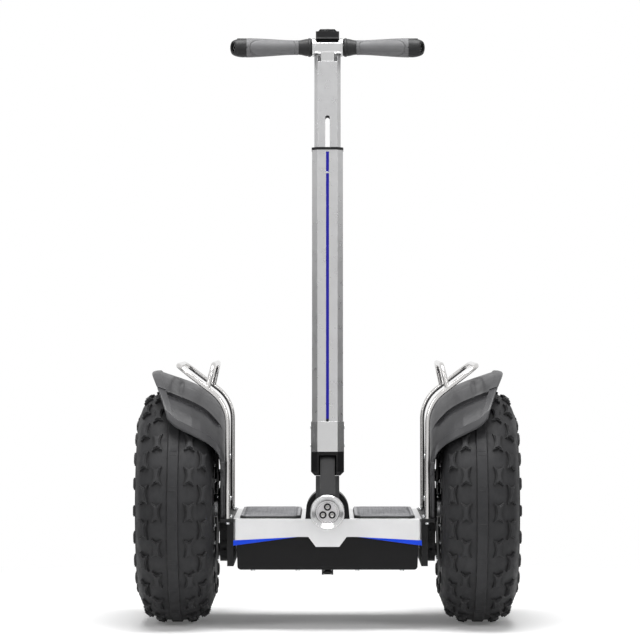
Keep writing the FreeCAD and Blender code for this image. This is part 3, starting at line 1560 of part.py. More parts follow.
def headlight_lenses():
    """Three lenses, each a stepped dome in its hole."""
    floor = neck_front - S.light_length + S.dish_depth
    radius, dome = S.lens_diameter / 2, S.lens_height
    lenses = []
    for x, z in lens_places():
        lens = turned("Lens", "YZ", "H_Axis", [
            (floor + S.dish_thickness, ZERO), (floor + S.dish_thickness, radius),
            (floor - dome / 3, radius), (floor - dome, radius / 2), (floor - dome, ZERO),
        ])
        lenses.append(place(lens, x, ZERO, axle_height + z))
    return group(*lenses)


def foot_collar():
    """Black collar at the foot of the column, open in front for the neck's tongue."""
    outline = bevelled(S.collar_width, S.collar_depth, S.collar_bevel)
    body = prism("FootCollar", "XY", S.foot_collar_bottom, S.foot_collar_top, outline)
    drop = S.foot_collar_low - S.foot_collar_bottom
    low = S.foot_collar_bottom.value + SAME_PLACE
    round_edges(body, drop, lambda edge: max(v.Z for v in edge.Vertexes) < low, cut=True)
    half = S.foot_collar_slot / 2
    front, back = -S.collar_depth, S.neck_rib_depth / 2 - S.neck_bevel + S.seat_gap
    slot = rectangle(-half, half, front, back)
    pocket(body, "XY", S.foot_collar_bottom - S.overrun, S.neck_tongue + S.seat_gap, slot)
    return in_column(body)


def bright_collar():
    """Bright collar round the foot of the outer tube."""
    outline = bevelled(S.collar_width, S.collar_depth, S.collar_bevel)
    body = prism("BrightCollar", "XY", S.foot_collar_top, S.collar_top, outline)
    gap = S.seat_gap * 2
    inside = bevelled(S.sleeve_width + gap, S.sleeve_depth + gap, S.sleeve_bevel)
    pocket(body, "XY", S.foot_collar_top - S.overrun, S.collar_top + S.overrun, inside)
    return in_column(body)


def outer_tube():
    """Outer tube with bevelled corners, a groove for its light, and a split clamp behind."""
    low, high = S.foot_collar_top, S.sleeve_top
    outline = bevelled(S.sleeve_width, S.sleeve_depth, S.sleeve_bevel)
    body = prism("OuterTube", "XY", low, high, outline)
    back = S.sleeve_depth / 2
    ear_low = high - S.ear_drop - S.ear_height / 2
    ears = rectangle(-S.ear_width, S.ear_width, back - S.overrun, back + S.ear_reach)
    pad(body, "XY", ear_low, ear_low + S.ear_height, ears)
    gap = S.moving_gap * 2
    inside = bevelled(S.inner_width + gap, S.inner_depth + gap, S.inner_bevel)
    pocket(body, "XY", low - S.overrun, high + S.overrun, inside)
    groove_half = S.strip_width / 2 + S.seat_gap
    groove = rectangle(-groove_half, groove_half, -back - S.overrun, S.strip_depth - back)
    pocket(body, "XY", S.collar_top, high - S.strip_margin, groove)
    split_half = S.sleeve_split / 2
    inner_back = S.inner_depth / 2
    split = rectangle(-split_half, split_half, inner_back, back + S.ear_reach + S.overrun)
    pocket(body, "XY", high - S.sleeve_split_length, high + S.overrun, split)
    hole = [(back + S.skewer_back, high - S.ear_drop, S.skewer / 2 + S.bolt_gap)]
    far = S.ear_width + S.overrun
    pocket(body, "YZ", -far, far, circles=hole)
    return in_column(body)


def tube_light():
    """Light strip along the front of the outer tube."""
    half, front = S.strip_width / 2, -S.sleeve_depth / 2
    outline = rectangle(-half, half, front, front + S.strip_depth - S.seat_gap)
    low, high = S.collar_top + S.seat_gap, S.sleeve_top - S.strip_margin - S.seat_gap
    return in_column(prism("TubeLight", "XY", low, high, outline))


def guide_bush():
    """Collar on top of the outer tube, with a tongue in the slot of the inner tube."""
    low, high = S.sleeve_top, S.sleeve_top + S.bush_height
    lip = S.bush_lip * 2
    outline = bevelled(S.sleeve_width + lip, S.sleeve_depth + lip, S.sleeve_bevel)
    body = prism("GuideBush", "XY", low, high, outline)
    gap = S.moving_gap * 2
    inside = bevelled(S.inner_width + gap, S.inner_depth + gap, S.inner_bevel)
    pocket(body, "XY", low - S.overrun, high + S.overrun, inside)
    half = S.slot_width / 2 - S.moving_gap
    face = -S.inner_depth / 2
    tongue = rectangle(-half, half, face - S.overrun, face + S.bush_tongue)
    pad(body, "XY", low, high, tongue)
    return in_column(body)


def clamp_skewer():
    """Skewer through both ears, with its nut and the washer under the lever."""
    y, z = S.sleeve_depth / 2 + S.skewer_back, S.sleeve_top - S.ear_drop
    nut_start = -S.ear_width - S.skewer_nut_length
    washer_end = S.ear_width + S.skewer_washer
    bar = rod("X", nut_start, y, z, S.skewer / 2, washer_end - nut_start)
    nut = hexagon_rod("X", nut_start, y, z, S.skewer_nut, S.skewer_nut_length)
    washer = rod("X", S.ear_width, y, z, S.skewer_nut / 2, S.skewer_washer)
    whole = fuse(bar, nut, washer)
    return in_column(group(whole))


def clamp_lever():
    """Lever of the height clamp, closed across the back of the outer tube."""
    x, y = lever_axis()
    low = S.sleeve_top - S.ear_drop - S.lever_hub_height / 2
    body = prism("ClampLever", "XY", low, low + S.lever_hub_height,
                 circles=[(x, y, S.lever_hub / 2)])
    middle, half = S.sleeve_top - S.ear_drop, S.lever_height / 2
    inner = y + S.lever_hub / 2 + S.moving_gap
    handle = (
        (x - S.lever_length, inner + S.lever_thickness / 2),
        (x - S.lever_length + S.lever_thickness, inner), (x - S.lever_hub / 2, inner),
        (x, inner - S.lever_thickness),
        (x + S.lever_hub / 2, y), (x + S.lever_hub / 2, inner),
        (x, inner + S.lever_thickness), (x - S.lever_length, inner + S.lever_thickness),
    )
    pad(body, "XY", middle - half, middle + half, handle)
    return in_column(body)


def lever_axis():
    """Where the lever turns, across and behind the column's axis."""
    x = S.ear_width + S.skewer_washer + S.moving_gap + S.lever_hub / 2
    return x, S.sleeve_depth / 2 + S.skewer_back


# Handlebar

def inner_tube():
    """Inner tube with bevelled corners, and a slot and a top notch through front and back."""
    low, high = S.inner_bottom, inner_top
    outline = bevelled(S.inner_width, S.inner_depth, S.inner_bevel)
    body = prism("InnerTube", "XY", low, high, outline)
    wall = S.inner_wall * 2
    inside = bevelled(S.inner_width - wall, S.inner_depth - wall, S.inner_bevel)
    pocket(body, "XY", low - S.overrun, high + S.overrun, inside)
    half, far = S.slot_width / 2, S.inner_depth
    round_low, round_high = S.slot_bottom + half, S.slot_top - half
    slot = (
        (-half, round_low, half), (ZERO, S.slot_bottom, half), (half, round_low),
        (half, round_high, half), (ZERO, S.slot_top, half), (-half, round_high),
    )
    pocket(body, "XZ", -far, far, slot)
    notch = rectangle(
        -S.notch_width / 2, S.notch_width / 2, high - S.notch_height, high + S.overrun
    )
    pocket(body, "XZ", -far, far, notch)
    return in_column(body)


def arm_frame(along):
    """Middle of an arm at a distance along it, and the degrees that it has turned there."""
    straight, curve = S.arm_straight.value, S.arm_curve.value
    turn = max(along.value - straight, 0) / curve
    across = min(along.value, straight) + curve * math.sin(turn)
    return Vector(across, curve * (math.cos(turn) - 1), 0), -math.degrees(turn)


def arm_pipe(start, finish, radius):
    """Round bar along the arm between two distances."""
    bend = S.arm_straight
    middle = (bend + finish) / 2
    first, corner, half_way, last = (arm_frame(s)[0] for s in (start, bend, middle, finish))
    path = Part.Wire([
        Part.LineSegment(first, corner).toShape(), Part.Arc(corner, half_way, last).toShape(),
    ])
    circle = Part.Wire(Part.Circle(first, Vector(1, 0, 0), radius.value).toShape())
    return path.makePipeShell([circle], True, False)


def arm_loft(places):
    """Round body through circles square to the arm, each a distance along it and a radius."""
    wires = []
    for along, radius in places:
        middle, turn = arm_frame(along)
        circle = Part.Circle(Vector(), Vector(1, 0, 0), radius.value).toShape()
        circle.rotate(Vector(), Vector(0, 0, 1), turn)
        circle.translate(middle)
        wires.append(Part.Wire(circle))
    return Part.makeLoft(wires, True)


def at_head(item):
    """Put a piece drawn about the middle of the cross tube in its place, arms tipped down."""
    return place(item, ZERO, ZERO, S.head_height, (1, 0, 0), S.arm_drop)


def handlebar():
    """Plug and neck, banded cross tube, and two arms that curve forward."""
    plug_wall = S.inner_wall * 2 + S.seat_gap * 2
    plug_top = inner_top - S.notch_height
    plug = prism("BarPlug", "XY", plug_top - S.link_plug, plug_top, bevelled(
        S.inner_width - plug_wall, S.inner_depth - plug_wall, S.inner_bevel
    ))
    link = prism("BarLink", "XY", plug_top, S.head_height, bevelled(
        S.link_width, S.link_depth, S.inner_bevel
    ))
    half, radius, band = S.head_width / 2, S.head_diameter / 2, S.head_band
    width = S.head_band_width
    head = turned("CrossTube", "XZ", "H_Axis", [
        (-half, ZERO), (half, ZERO), (half, radius + band), (half - width, radius + band),
        (half - width, radius), (width - half, radius), (width - half, radius + band),
        (-half, radius + band),
    ])
    head = place(head, ZERO, ZERO, S.head_height)
    end = S.arm_reach - S.arm_stop
    outer = arm_pipe(ZERO, end, S.arm_diameter / 2)
    inner = arm_pipe(half, end + S.overrun, S.arm_diameter / 2 - S.arm_wall)
    arm = outer.cut(inner)
    arms = [
        at_head(shaped("BarArm", one)) for one in (arm, arm.mirror(Vector(), Vector(1, 0, 0)))
    ]
    return in_column(group(fuse(plug, link, head, *arms)))


def waist(sink):
    """Places along the soft part of a grip, sunk below its surface."""
    start = S.grip_start + S.flare_length
    end = S.insert_end
    return [
        (start, S.grip_root / 2 - sink),
        (start + (end - start) / 5, S.grip_root / 2 - sink),
        ((start + end) / 2, S.grip_middle / 2 - sink),
        (end, S.grip_bulge / 2 - sink),
    ]


def grip():
    """Moulded grip: flared at the root, sunk waist, full at the palm, a recess in its end."""
    start, length, end = S.grip_start, S.flare_length, S.arm_reach
    collar = arm_loft([
        (start, S.grip_lip / 2), (start + S.flare_place, S.grip_flare / 2),
        (start + (length + S.flare_place) / 2, (S.grip_flare + S.grip_root) / 4),
        (start + length, S.grip_root / 2),
    ])
    middle = arm_loft(waist(S.insert_thickness))
    cap = arm_loft([
        (S.insert_end, S.grip_bulge / 2),
        ((S.insert_end + end) / 2, (S.grip_bulge * 2 + S.grip_end) / 6),
        (end, S.grip_end / 2),
    ])
    bore_end = end - S.arm_stop + S.seat_gap
    bore = arm_pipe(ZERO, bore_end, S.arm_diameter / 2 + S.seat_gap)
    last, turn = arm_frame(end)
    outward = FreeCAD.Rotation(Vector(0, 0, 1), turn).multVec(Vector(1, 0, 0))
    depth = S.grip_end_depth.value
    recess = Part.makeCylinder(
        S.grip_end_hole.value / 2, depth + S.overrun.value, last - outward * depth, outward
    )
    return shaped("Grip", collar.fuse([middle, cap]).cut([bore, recess]))


def grip_insert():
    """Soft layer in the waist of a grip."""
    outside = arm_loft(waist(ZERO))
    inside = arm_loft(waist(S.insert_thickness - S.seat_gap))
    return shaped("GripInsert", outside.cut(inside))


def display_housing():
    """Saddle-shaped housing on the cross tube, with a raised crown and a button hole."""
    half, depth = S.display_width / 2, S.display_depth / 2
    top = S.head_height + S.head_diameter / 2 + S.display_height
    low = S.head_height + S.head_diameter / 2 - S.display_skirt
    body = prism("DisplayHousing", "XY", low, top, rectangle(-half, half, -depth, depth))
    round_edges(body, S.display_round, upright)
    crown_half, crown_depth = S.display_crown / 2, S.display_crown_depth / 2
    rise = S.display_crown_height
    crown_outline = (
        (-crown_half - rise, top), (crown_half + rise, top), (crown_half, top + rise),
        (-crown_half, top + rise),
    )
    pad(body, "XZ", -crown_depth, crown_depth, crown_outline)
    bore = (ZERO, ZERO, S.button_diameter / 2 + S.moving_gap)
    pocket(body, "XY", button_floor, top + rise + S.overrun, circles=[bore])
    saddle = (ZERO, S.head_height, S.head_diameter / 2 + S.seat_gap)
    pocket(body, "YZ", -half - S.overrun, half + S.overrun, circles=[saddle])
    return in_column(body)


def power_button():
    floor = button_floor + S.button_travel + S.moving_gap
    top = S.head_height + S.head_diameter / 2 + S.display_height + S.display_crown_height
    body = prism("PowerButton", "XY", floor, top + S.button_rise,
                 circles=[(ZERO, ZERO, S.button_diameter / 2)])
    return in_column(body)


inner_top = S.head_height - S.head_diameter / 2 - S.head_band - S.seat_gap
button_floor = (
    S.head_height + S.head_diameter / 2 + S.display_height + S.display_crown_height
    - S.button_depth - S.button_travel
)

node(pivot_housing(), "pivot_housing")
node(pivot_bearings(), "pivot_bearings")
node(lean_stops(), "lean_stops")
node(pivot_shaft(), "pivot_shaft")
node(neck(), "neck")
node(headlight_bezel(), "headlight_bezel")
node(headlight_disc(), "headlight_disc")
node(headlight_lenses(), "headlight_lenses")
node(foot_collar(), "foot_collar")
node(bright_collar(), "bright_collar")
node(outer_tube(), "outer_tube")
node(tube_light(), "tube_light_strip")
node(guide_bush(), "guide_bush")
node(clamp_skewer(), "clamp_skewer")
node(clamp_lever(), "clamp_lever")
node(inner_tube(), "inner_tube")
node(handlebar(), "handlebar")
for name, drawn in (("grips", grip()), ("grip_inserts", grip_insert())):
    node(pair(in_column(group(at_head(drawn)))), name)
node(display_housing(), "display_housing")
node(power_button(), "power_button")


# Fenders, rails and grab handles

def fender_section():
    """Turned section of the fender, from the foot of its inner wall to its crest."""
    wall, inner = S.fender_wall, fender_inner
    return (
        (fender_peak, fender_crest - wall), (fender_peak, fender_crest),
        (fender_bend, fender_bend_rise),
        (fender_shoulder, fender_shoulder_rise, S.fender_shoulder_curve),
        (inner, fender_straight), (inner, fender_root), (inner + wall, fender_root),
        (inner + wall, fender_straight, wall - S.fender_shoulder_curve),
        (fender_shoulder + wall / 2, fender_shoulder_rise - wall),
        (fender_bend, fender_bend_rise - wall),
    )


def band_section():
    """Section of the raised band, from the bend over the crest to the outer edge."""
    wall, rise = S.fender_wall, S.band_rise
    start, start_rise = fender_bend, fender_bend_rise
    edge_rise = fender_crest - S.fender_edge_drop
    return (
        (start, start_rise - wall), (fender_peak, fender_crest - wall),
        (fender_edge, edge_rise - wall), (fender_edge, edge_rise + rise),
        (fender_peak, fender_crest + rise), (start, start_rise + rise),
    )


def panel_section():
    """Section of the raised panels ahead of and behind the creases."""
    wall, rise = S.fender_wall, S.crease_rise
    start, start_rise = fender_bend, fender_bend_rise
    return (
        (start, start_rise - wall), (fender_peak, fender_crest - wall),
        (fender_peak, fender_crest + rise), (start, start_rise + rise),
    )


def turned_guard(name, section, sweep):
    """A section turned round the axle, evenly about the top of the wheel."""
    return place(turned(name, "XZ", "H_Axis", section, sweep), ZERO, ZERO, axle_height)


def plan_drum(radius):
    """Upright drum whose side cuts the fender's outer edge to a curve seen from above."""
    return rod("Z", fender_edge - S.fender_plan, ZERO, ZERO, radius,
               axle_height + fender_crest * 2)


def fender():
    """Moulded fender: crown, raised band along its edges, creased ends and inner plate."""
    crown_shell = common(
        turned_guard("FenderCrown", fender_section(), S.fender_sweep), plan_drum(S.fender_plan)
    )
    inner_sweep = S.fender_sweep - S.band_angle * 2
    wall, inner = S.fender_wall, fender_inner
    block = (
        (inner, fender_root), (fender_edge + S.overrun, fender_root),
        (fender_edge + S.overrun, fender_crest * 2), (inner, fender_crest * 2),
    )
    core = common(
        turned_guard("FenderCore", block, inner_sweep), plan_drum(S.fender_plan - S.band_width)
    )
    band = cut(
        common(
            turned_guard("FenderBand", band_section(), S.fender_sweep),
            plan_drum(S.fender_plan),
        ),
        core,
    )
    ends = []
    for side in (1, -1):
        front, back = sorted_pair(S.crease_place * side, S.fender_plan * side)
        ends.append(prism("FenderEnd", "YZ", inner, fender_edge, rectangle(
            front, back, axle_height, axle_height + fender_crest * 2
        )))
    panels = common(
        turned_guard("FenderPanel", panel_section(), inner_sweep),
        plan_drum(S.fender_plan - S.band_width), group(*ends)
    )
    half, low = S.plate_half, deck_top
    shoulder = tyre_top - S.plate_shoulder
    plate = prism("FenderPlate", "YZ", inner, inner + wall, (
        (-half, low), (half, low), (half, shoulder),
        (half - S.plate_slope, shoulder + S.plate_slope_rise), (ZERO, tyre_top - S.plate_apex),
        (S.plate_slope - half, shoulder + S.plate_slope_rise), (-half, shoulder),
    ))
    arch = [(ZERO, axle_height, S.plate_arch)]
    pocket(plate, "YZ", inner - S.overrun, inner + wall + S.overrun, circles=arch)
    lips = []
    for side in (1, -1):
        front, back = sorted_pair(half * side, (half - wall) * side)
        outline = rectangle(inner, inner + S.plate_lip, front, back)
        lips.append(prism("FenderLip", "XY", low, shoulder, outline))
    return fuse(crown_shell, band, panels, plate, *lips)


def rail_shape():
    """One tube: a leg up, out over the fender, back along it, and down again."""
    half, tip_half = S.rail_half, S.rail_tip_half
    foot, knee, tip = rail_place, rail_knee, rail_tip
    height = rail_tip_height
    points = (
        (foot, -half, deck_top), (foot, -half, knee), (tip, -tip_half, height),
        (tip, tip_half, height), (foot, half, knee), (foot, half, deck_top),
    )
    bends = (S.rail_knee_curve, S.rail_tip_curve, S.rail_tip_curve, S.rail_knee_curve)
    return bent_tube(points, bends, S.rail_tube / 2)


def guard_rail():
    """Bent rail with a threaded bore in the foot of each leg."""
    tube = shaped("RailTube", rail_shape())
    bores = [
        rod("Z", rail_place, y, deck_top - S.overrun, S.rail_bolt / 2 + S.seat_gap,
            S.rail_bolt_depth + S.overrun)
        for y in (-S.rail_half, S.rail_half)
    ]
    return cut(tube, *bores)


def grab_handle(rail):
    """Bent handle between the rail's arms, welded to both."""
    arm_slope = (rail_tip_height - rail_knee) / (rail_tip - rail_place)
    foot_height = rail_knee + arm_slope * (grab_foot - rail_place)
    share = (grab_foot - rail_place) / (rail_tip - rail_place)
    foot_half = S.rail_half - (S.rail_half - S.rail_tip_half) * share
    top_place = grab_foot - S.grab_lean
    points = (
        (grab_foot, -foot_half, foot_height), (top_place, -S.rail_tip_half, grab_height),
        (top_place, S.rail_tip_half, grab_height), (grab_foot, foot_half, foot_height),
    )
    tube = shaped("GrabTube", bent_tube(points, (S.grab_curve,) * 2, S.rail_tube / 2))
    return cut(tube, rail)


def rail_bolts():
    """Socket bolts up through the bracket flanges into the rail legs."""
    low = deck_top - S.bracket_flange
    bolts = []
    for x in (-rail_place, rail_place):
        for y in (-S.rail_half, S.rail_half):
            head = rod("Z", x, y, low - S.rail_bolt_head_height, S.rail_bolt_head / 2,
                       S.rail_bolt_head_height)
            shank = rod("Z", x, y, low, S.rail_bolt / 2, S.bracket_flange + S.rail_bolt_depth)
            bolts.append(fuse(head, shank))
    return group(*bolts)


left_fender = node(fender(), "fender_left")
mirror(left_fender, "fender_right")
left_rail = node(guard_rail(), "guard_rail_left")
mirror(left_rail, "guard_rail_right")
left_grab = node(grab_handle(left_rail), "grab_handle_left")
mirror(left_grab, "grab_handle_right")
node(rail_bolts(), "rail_bolts")


# Everything is built, so check it and write the files
doc.recompute()
for item in doc.Objects:
    if {"Invalid", "Error"} & set(item.State):
        raise RuntimeError(f"{item.Label} did not build: {item.State}")
for item in NODES:
    if item.Shape.isNull() or not item.Shape.isValid():
        raise RuntimeError(f"{item.Label} has no valid shape")

os.makedirs("parts", exist_ok=True)
for item in NODES:
    item.Shape.exportStep(os.path.join("parts", f"{item.Label}.step"))
print(len(NODES), "pieces written")
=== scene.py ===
"""Dress, light and frame the two-wheeled self balancing transporter."""

import json
import logging
import math
from dataclasses import dataclass
from enum import Enum
from typing import Callable, Iterable, Sequence

import bpy
from mathutils import Matrix, Vector

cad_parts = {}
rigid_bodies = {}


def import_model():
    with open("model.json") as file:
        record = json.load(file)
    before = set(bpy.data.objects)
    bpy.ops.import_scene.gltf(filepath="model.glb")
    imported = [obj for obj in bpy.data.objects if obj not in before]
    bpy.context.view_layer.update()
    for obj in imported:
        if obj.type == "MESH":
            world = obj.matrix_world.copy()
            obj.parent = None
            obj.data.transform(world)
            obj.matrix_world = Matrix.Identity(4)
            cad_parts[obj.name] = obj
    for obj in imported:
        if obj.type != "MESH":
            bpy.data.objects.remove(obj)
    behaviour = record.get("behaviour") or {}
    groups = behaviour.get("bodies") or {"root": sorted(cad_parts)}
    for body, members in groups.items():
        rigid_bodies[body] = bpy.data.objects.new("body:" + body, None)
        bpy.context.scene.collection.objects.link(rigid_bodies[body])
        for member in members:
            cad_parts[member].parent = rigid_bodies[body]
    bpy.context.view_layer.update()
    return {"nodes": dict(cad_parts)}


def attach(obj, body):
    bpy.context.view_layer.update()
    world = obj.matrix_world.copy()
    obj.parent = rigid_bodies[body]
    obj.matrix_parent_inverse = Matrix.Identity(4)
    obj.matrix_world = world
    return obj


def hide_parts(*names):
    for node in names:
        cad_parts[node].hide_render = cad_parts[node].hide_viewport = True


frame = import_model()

logging.basicConfig(level=logging.INFO, format="%(message)s")
log = logging.getLogger("transporter")

# Lengths are in millimetres and angles in degrees, except where the code says * MM or metres.
MM = 0.001
AXLE_HEIGHT = 241.5
FLAT = 0.9  # a face looks along an axis when its normal has more than this share of it

Triple = tuple[float, float, float]
Colour = Triple
Point = Sequence[float]
Socket = bpy.types.NodeSocket
Table = tuple[tuple[float, float], ...]
FaceTest = Callable[[Vector, Vector], bool]


class Side(Enum):
    """The two sides of the machine: the rider's left is +X."""

    LEFT = 1
    RIGHT = -1

    @property
    def word(self) -> str:
        """The word that ends the names of this side's nodes."""
        return self.name.lower()

    @property
    def flip(self) -> Matrix:
        """The matrix that carries a left piece to this side."""
        return Matrix.Scale(self.value, 4, (1, 0, 0))


class Pattern(Enum):
    """How the fine grain of a finish runs over the surface."""

    FINE = "fine"
    BRUSHED = "brushed"
    LEATHER = "leather"
    CAST = "cast"


class Axis(Enum):
    """The axis that a profile is turned about."""

    X = (1, 0, 0)
    Z = (0, 0, 1)


def metres(*lengths: float) -> Vector:
    """Return a vector in metres for three lengths."""
    return Vector([length * MM for length in lengths])


def shift(*lengths: float) -> Matrix:
    """Return a move along the three axes."""
    return Matrix.Translation(metres(*lengths))


def turn(degrees: float, axis: str) -> Matrix:
    """Return a turn about one axis."""
    return Matrix.Rotation(math.radians(degrees), 4, axis)


def ramp(value: float, low: float, high: float) -> float:
    """Return 0 before low, 1 beyond high and a straight line between them."""
    return max(0.0, min(1.0, (value - low) / (high - low)))


def grey(level: float, blue: float = 0.0) -> Colour:
    """Return a grey, with a little more blue where that is given."""
    return level, level, level + blue


def both(*names: str) -> list[str]:
    """Return the node names for the left and the right side."""
    return [f"{name}_{side.word}" for name in names for side in Side]


# Finishes


class Tree:
    """The node tree of a material or a world, built one node at a time."""

    mix_inputs = (0, 6, 7)
    mix_output = 2
    sharp_edge = (0.995, 0.85)
    soft_noise = (0.3, 0.7)

    def __init__(self, owner: bpy.types.ID) -> None:
        """Start with an empty tree.

        Args:
            owner: The material or world.
        """
        owner.use_nodes = True
        self.owner = owner
        self.nodes = owner.node_tree.nodes
        self.links = owner.node_tree.links
        self.nodes.clear()

    def put(self, socket: Socket, value: object) -> None:
        """Link an output to a socket, or set a value on it.

        Args:
            socket: The input socket.
            value: An output socket, a number, a vector or a colour without its alpha.
        """
        if isinstance(value, bpy.types.NodeSocket):
            self.links.new(value, socket)
        elif socket.type == "RGBA":
            socket.default_value = (*value, 1.0)
        else:
            socket.default_value = value

    def add(self, kind: str, *inputs: object, settings: dict | None = None,
            **named: object) -> bpy.types.Node:
        """Add a node.

        Args:
            kind: The node's type name without "ShaderNode".
            inputs: What goes into its first sockets, in their order.
            settings: Attributes to set on the node itself.
            named: What goes into sockets by name. Blanks are underscores.

        Returns:
            The new node.
        """
        node = self.nodes.new(f"ShaderNode{kind}")
        for key, value in (settings or {}).items():
            setattr(node, key, value)
        for socket, value in zip(node.inputs, inputs):
            self.put(socket, value)
        for key, value in named.items():
            self.put(node.inputs[key.replace("_", " ")], value)
        return node

    def object_place(self, stretch: Point = (1.0, 1.0, 1.0)) -> Socket:
        """Return object coordinates, stretched along the axes."""
        place = self.add("TexCoord").outputs["Object"]
        return self.add("Mapping", Vector=place, Scale=tuple(stretch)).outputs["Vector"]

    def noise(self, place: Socket, size: float, detail: float, roughness: float = 0.55) -> Socket:
        """Return noise whose features are about a given size."""
        return self.add("TexNoise", Vector=place, Scale=1 / (size * MM), Detail=detail,
                        Roughness=roughness).outputs["Fac"]

    def ranged(self, value: Socket, low: float, high: float, to_low: float = 0.0,
               to_high: float = 1.0) -> Socket:
        """Return a value mapped from one range to another, held at its ends."""
        return self.add("MapRange", Value=value, From_Min=low, From_Max=high, To_Min=to_low,
                        To_Max=to_high).outputs["Result"]

    def cloud(self, place: Socket, size: float, detail: float, low: float = 0.0,
              high: float = 1.0) -> Socket:
        """Return soft noise that runs from low to high."""
        return self.ranged(self.noise(place, size, detail), *self.soft_noise, low, high)

    def calculate(self, kind: str, one: object, other: object) -> Socket:
        """Return the result of a math node with two inputs."""
        return self.add("Math", one, other, settings={"operation": kind}).outputs["Value"]

    def product(self, value: Socket, *factors: object) -> Socket:
        """Return a value times some factors."""
        for factor in factors:
            value = self.calculate("MULTIPLY", value, factor)
        return value

    def blend(self, share: Socket, one: object, other: object) -> Socket:
        """Return a mix of two colours.

        Args:
            share: The share of the second colour.
            one: The first colour.
            other: The second colour.

        Returns:
            The output socket.
        """
        node = self.add("Mix", settings={"data_type": "RGBA"})
        for index, value in zip(self.mix_inputs, (share, one, other)):
            self.put(node.inputs[index], value)
        return node.outputs[self.mix_output]

    def edge_share(self, radius: float) -> tuple[Socket, Socket]:
        """Find the sharp edges.

        Args:
            radius: How far the edges are softened.

        Returns:
            The softened normal and how near a sharp edge each point is.
        """
        soft = self.add("Bevel", settings={"samples": 6}, Radius=radius * MM).outputs["Normal"]
        dot = self.add("VectorMath", soft, self.add("NewGeometry").outputs["Normal"],
                       settings={"operation": "DOT_PRODUCT"})
        return soft, self.ranged(dot.outputs["Value"], *self.sharp_edge)

    def seen(self) -> Socket:
        """Return 1 for rays of the camera and of reflections, and 0 for all others."""
        path = self.add("LightPath").outputs
        return self.calculate("MAXIMUM", path["Is Camera Ray"], path["Is Glossy Ray"])

    def finish(self, shader: bpy.types.Node, output: str = "OutputMaterial") -> bpy.types.ID:
        """Link the shader to the output and return the tree's owner."""
        self.add(output, shader.outputs[0])
        return self.owner


@dataclass(frozen=True)
class Finish:
    """A solid finish with mottled colour, fine grain, softened edges and wear on them, and painted
    shade in its hollows where that is asked for.
    """

    name: str
    colour: Colour
    roughness: float
    metallic: float = 0.0
    coat: float = 0.0
    coat_roughness: float = 0.12
    pattern: Pattern = Pattern.FINE
    grain: float = 0.02
    grain_size: float = 0.8
    mottle: float = 0.08
    mottle_size: float = 40.0
    edge: float = 0.6
    wear: float = 0.3
    wear_colour: Colour = grey(0.3)
    scuff_size: float = 6.0
    brush: Triple = (1.0, 1.0, 1.0)
    sheen_level: float = 0.5
    # The next four settings paint shade into the hollows: its share, its near-black colour, how far
    # the hollows reach and the size of the patches.
    dust: float = 0.0
    hollow_colour: Colour = grey(0.003)
    hollow_reach: float = 12.0
    patch_size: float = 18.0

    def make(self) -> bpy.types.Material:
        """Build the material.

        Returns:
            The material, ready to be put in a slot.
        """
        tree = Tree(bpy.data.materials.new(self.name))
        place = tree.object_place()
        dark, light = [tuple(min(1.0, c * (1 + way * self.mottle)) for c in self.colour)
                       for way in (-1, 1)]
        colour = tree.blend(tree.cloud(place, self.mottle_size, 5.0), dark, light)
        normal, edge = tree.edge_share(self.edge)
        scuff = tree.ranged(tree.noise(place, self.scuff_size, 6.0, 0.7), 0.42, 0.62)
        colour = tree.blend(tree.product(edge, scuff, self.wear), colour, self.wear_colour)
        # Painted shade: the hollows are darkened towards near black, in patches.
        if self.dust:
            colour = tree.blend(self.hollow_share(tree, place), colour, self.hollow_colour)
        bump = tree.add("Bump", Strength=1.0, Distance=self.grain * MM, Normal=normal,
                        Height=self.grain_height(tree, place))
        rough = tree.cloud(place, self.mottle_size / 3, 4.0, self.roughness * 0.85,
                           min(1.0, self.roughness * 1.2))
        return tree.finish(tree.add(
            "BsdfPrincipled", Metallic=self.metallic, Base_Color=colour, Roughness=rough,
            Normal=bump.outputs["Normal"], Coat_Weight=self.coat,
            Coat_Roughness=self.coat_roughness, Specular_IOR_Level=self.sheen_level,
        ))

    def grain_height(self, tree: Tree, place: Socket) -> Socket:
        """Make the fine grain.

        Args:
            tree: The material's tree.
            place: Object coordinates.

        Returns:
            The height of the grain.
        """
        if self.pattern is Pattern.BRUSHED:
            return tree.noise(tree.object_place(self.brush), self.grain_size, 3.0)
        if self.pattern is Pattern.LEATHER:
            cells = tree.add("TexVoronoi", settings={"feature": "SMOOTH_F1"}, Vector=place,
                             Scale=1 / (self.grain_size * MM))
            return cells.outputs["Distance"]
        if self.pattern is Pattern.CAST:
            coarse = tree.noise(place, self.grain_size * 4, 2.0)
            return tree.calculate("ADD", coarse, tree.noise(place, self.grain_size, 4.0))
        return tree.noise(place, self.grain_size, 5.0)

    def hollow_share(self, tree: Tree, place: Socket) -> Socket:
        """Find the hollows, in patches, where shade is painted in as a darker colour.

        Args:
            tree: The material's tree.
            place: Object coordinates.

        Returns:
            The share of the painted shade in the hollows.
        """
        hollow = tree.add("AmbientOcclusion", settings={"samples": 4},
                          Distance=self.hollow_reach * MM)
        caught = tree.ranged(hollow.outputs["AO"], 0.9, 0.5)
        patch = tree.ranged(tree.noise(place, self.patch_size, 6.0), 0.4, 0.65, 0.55, 1.0)
        return tree.product(caught, patch, self.dust)


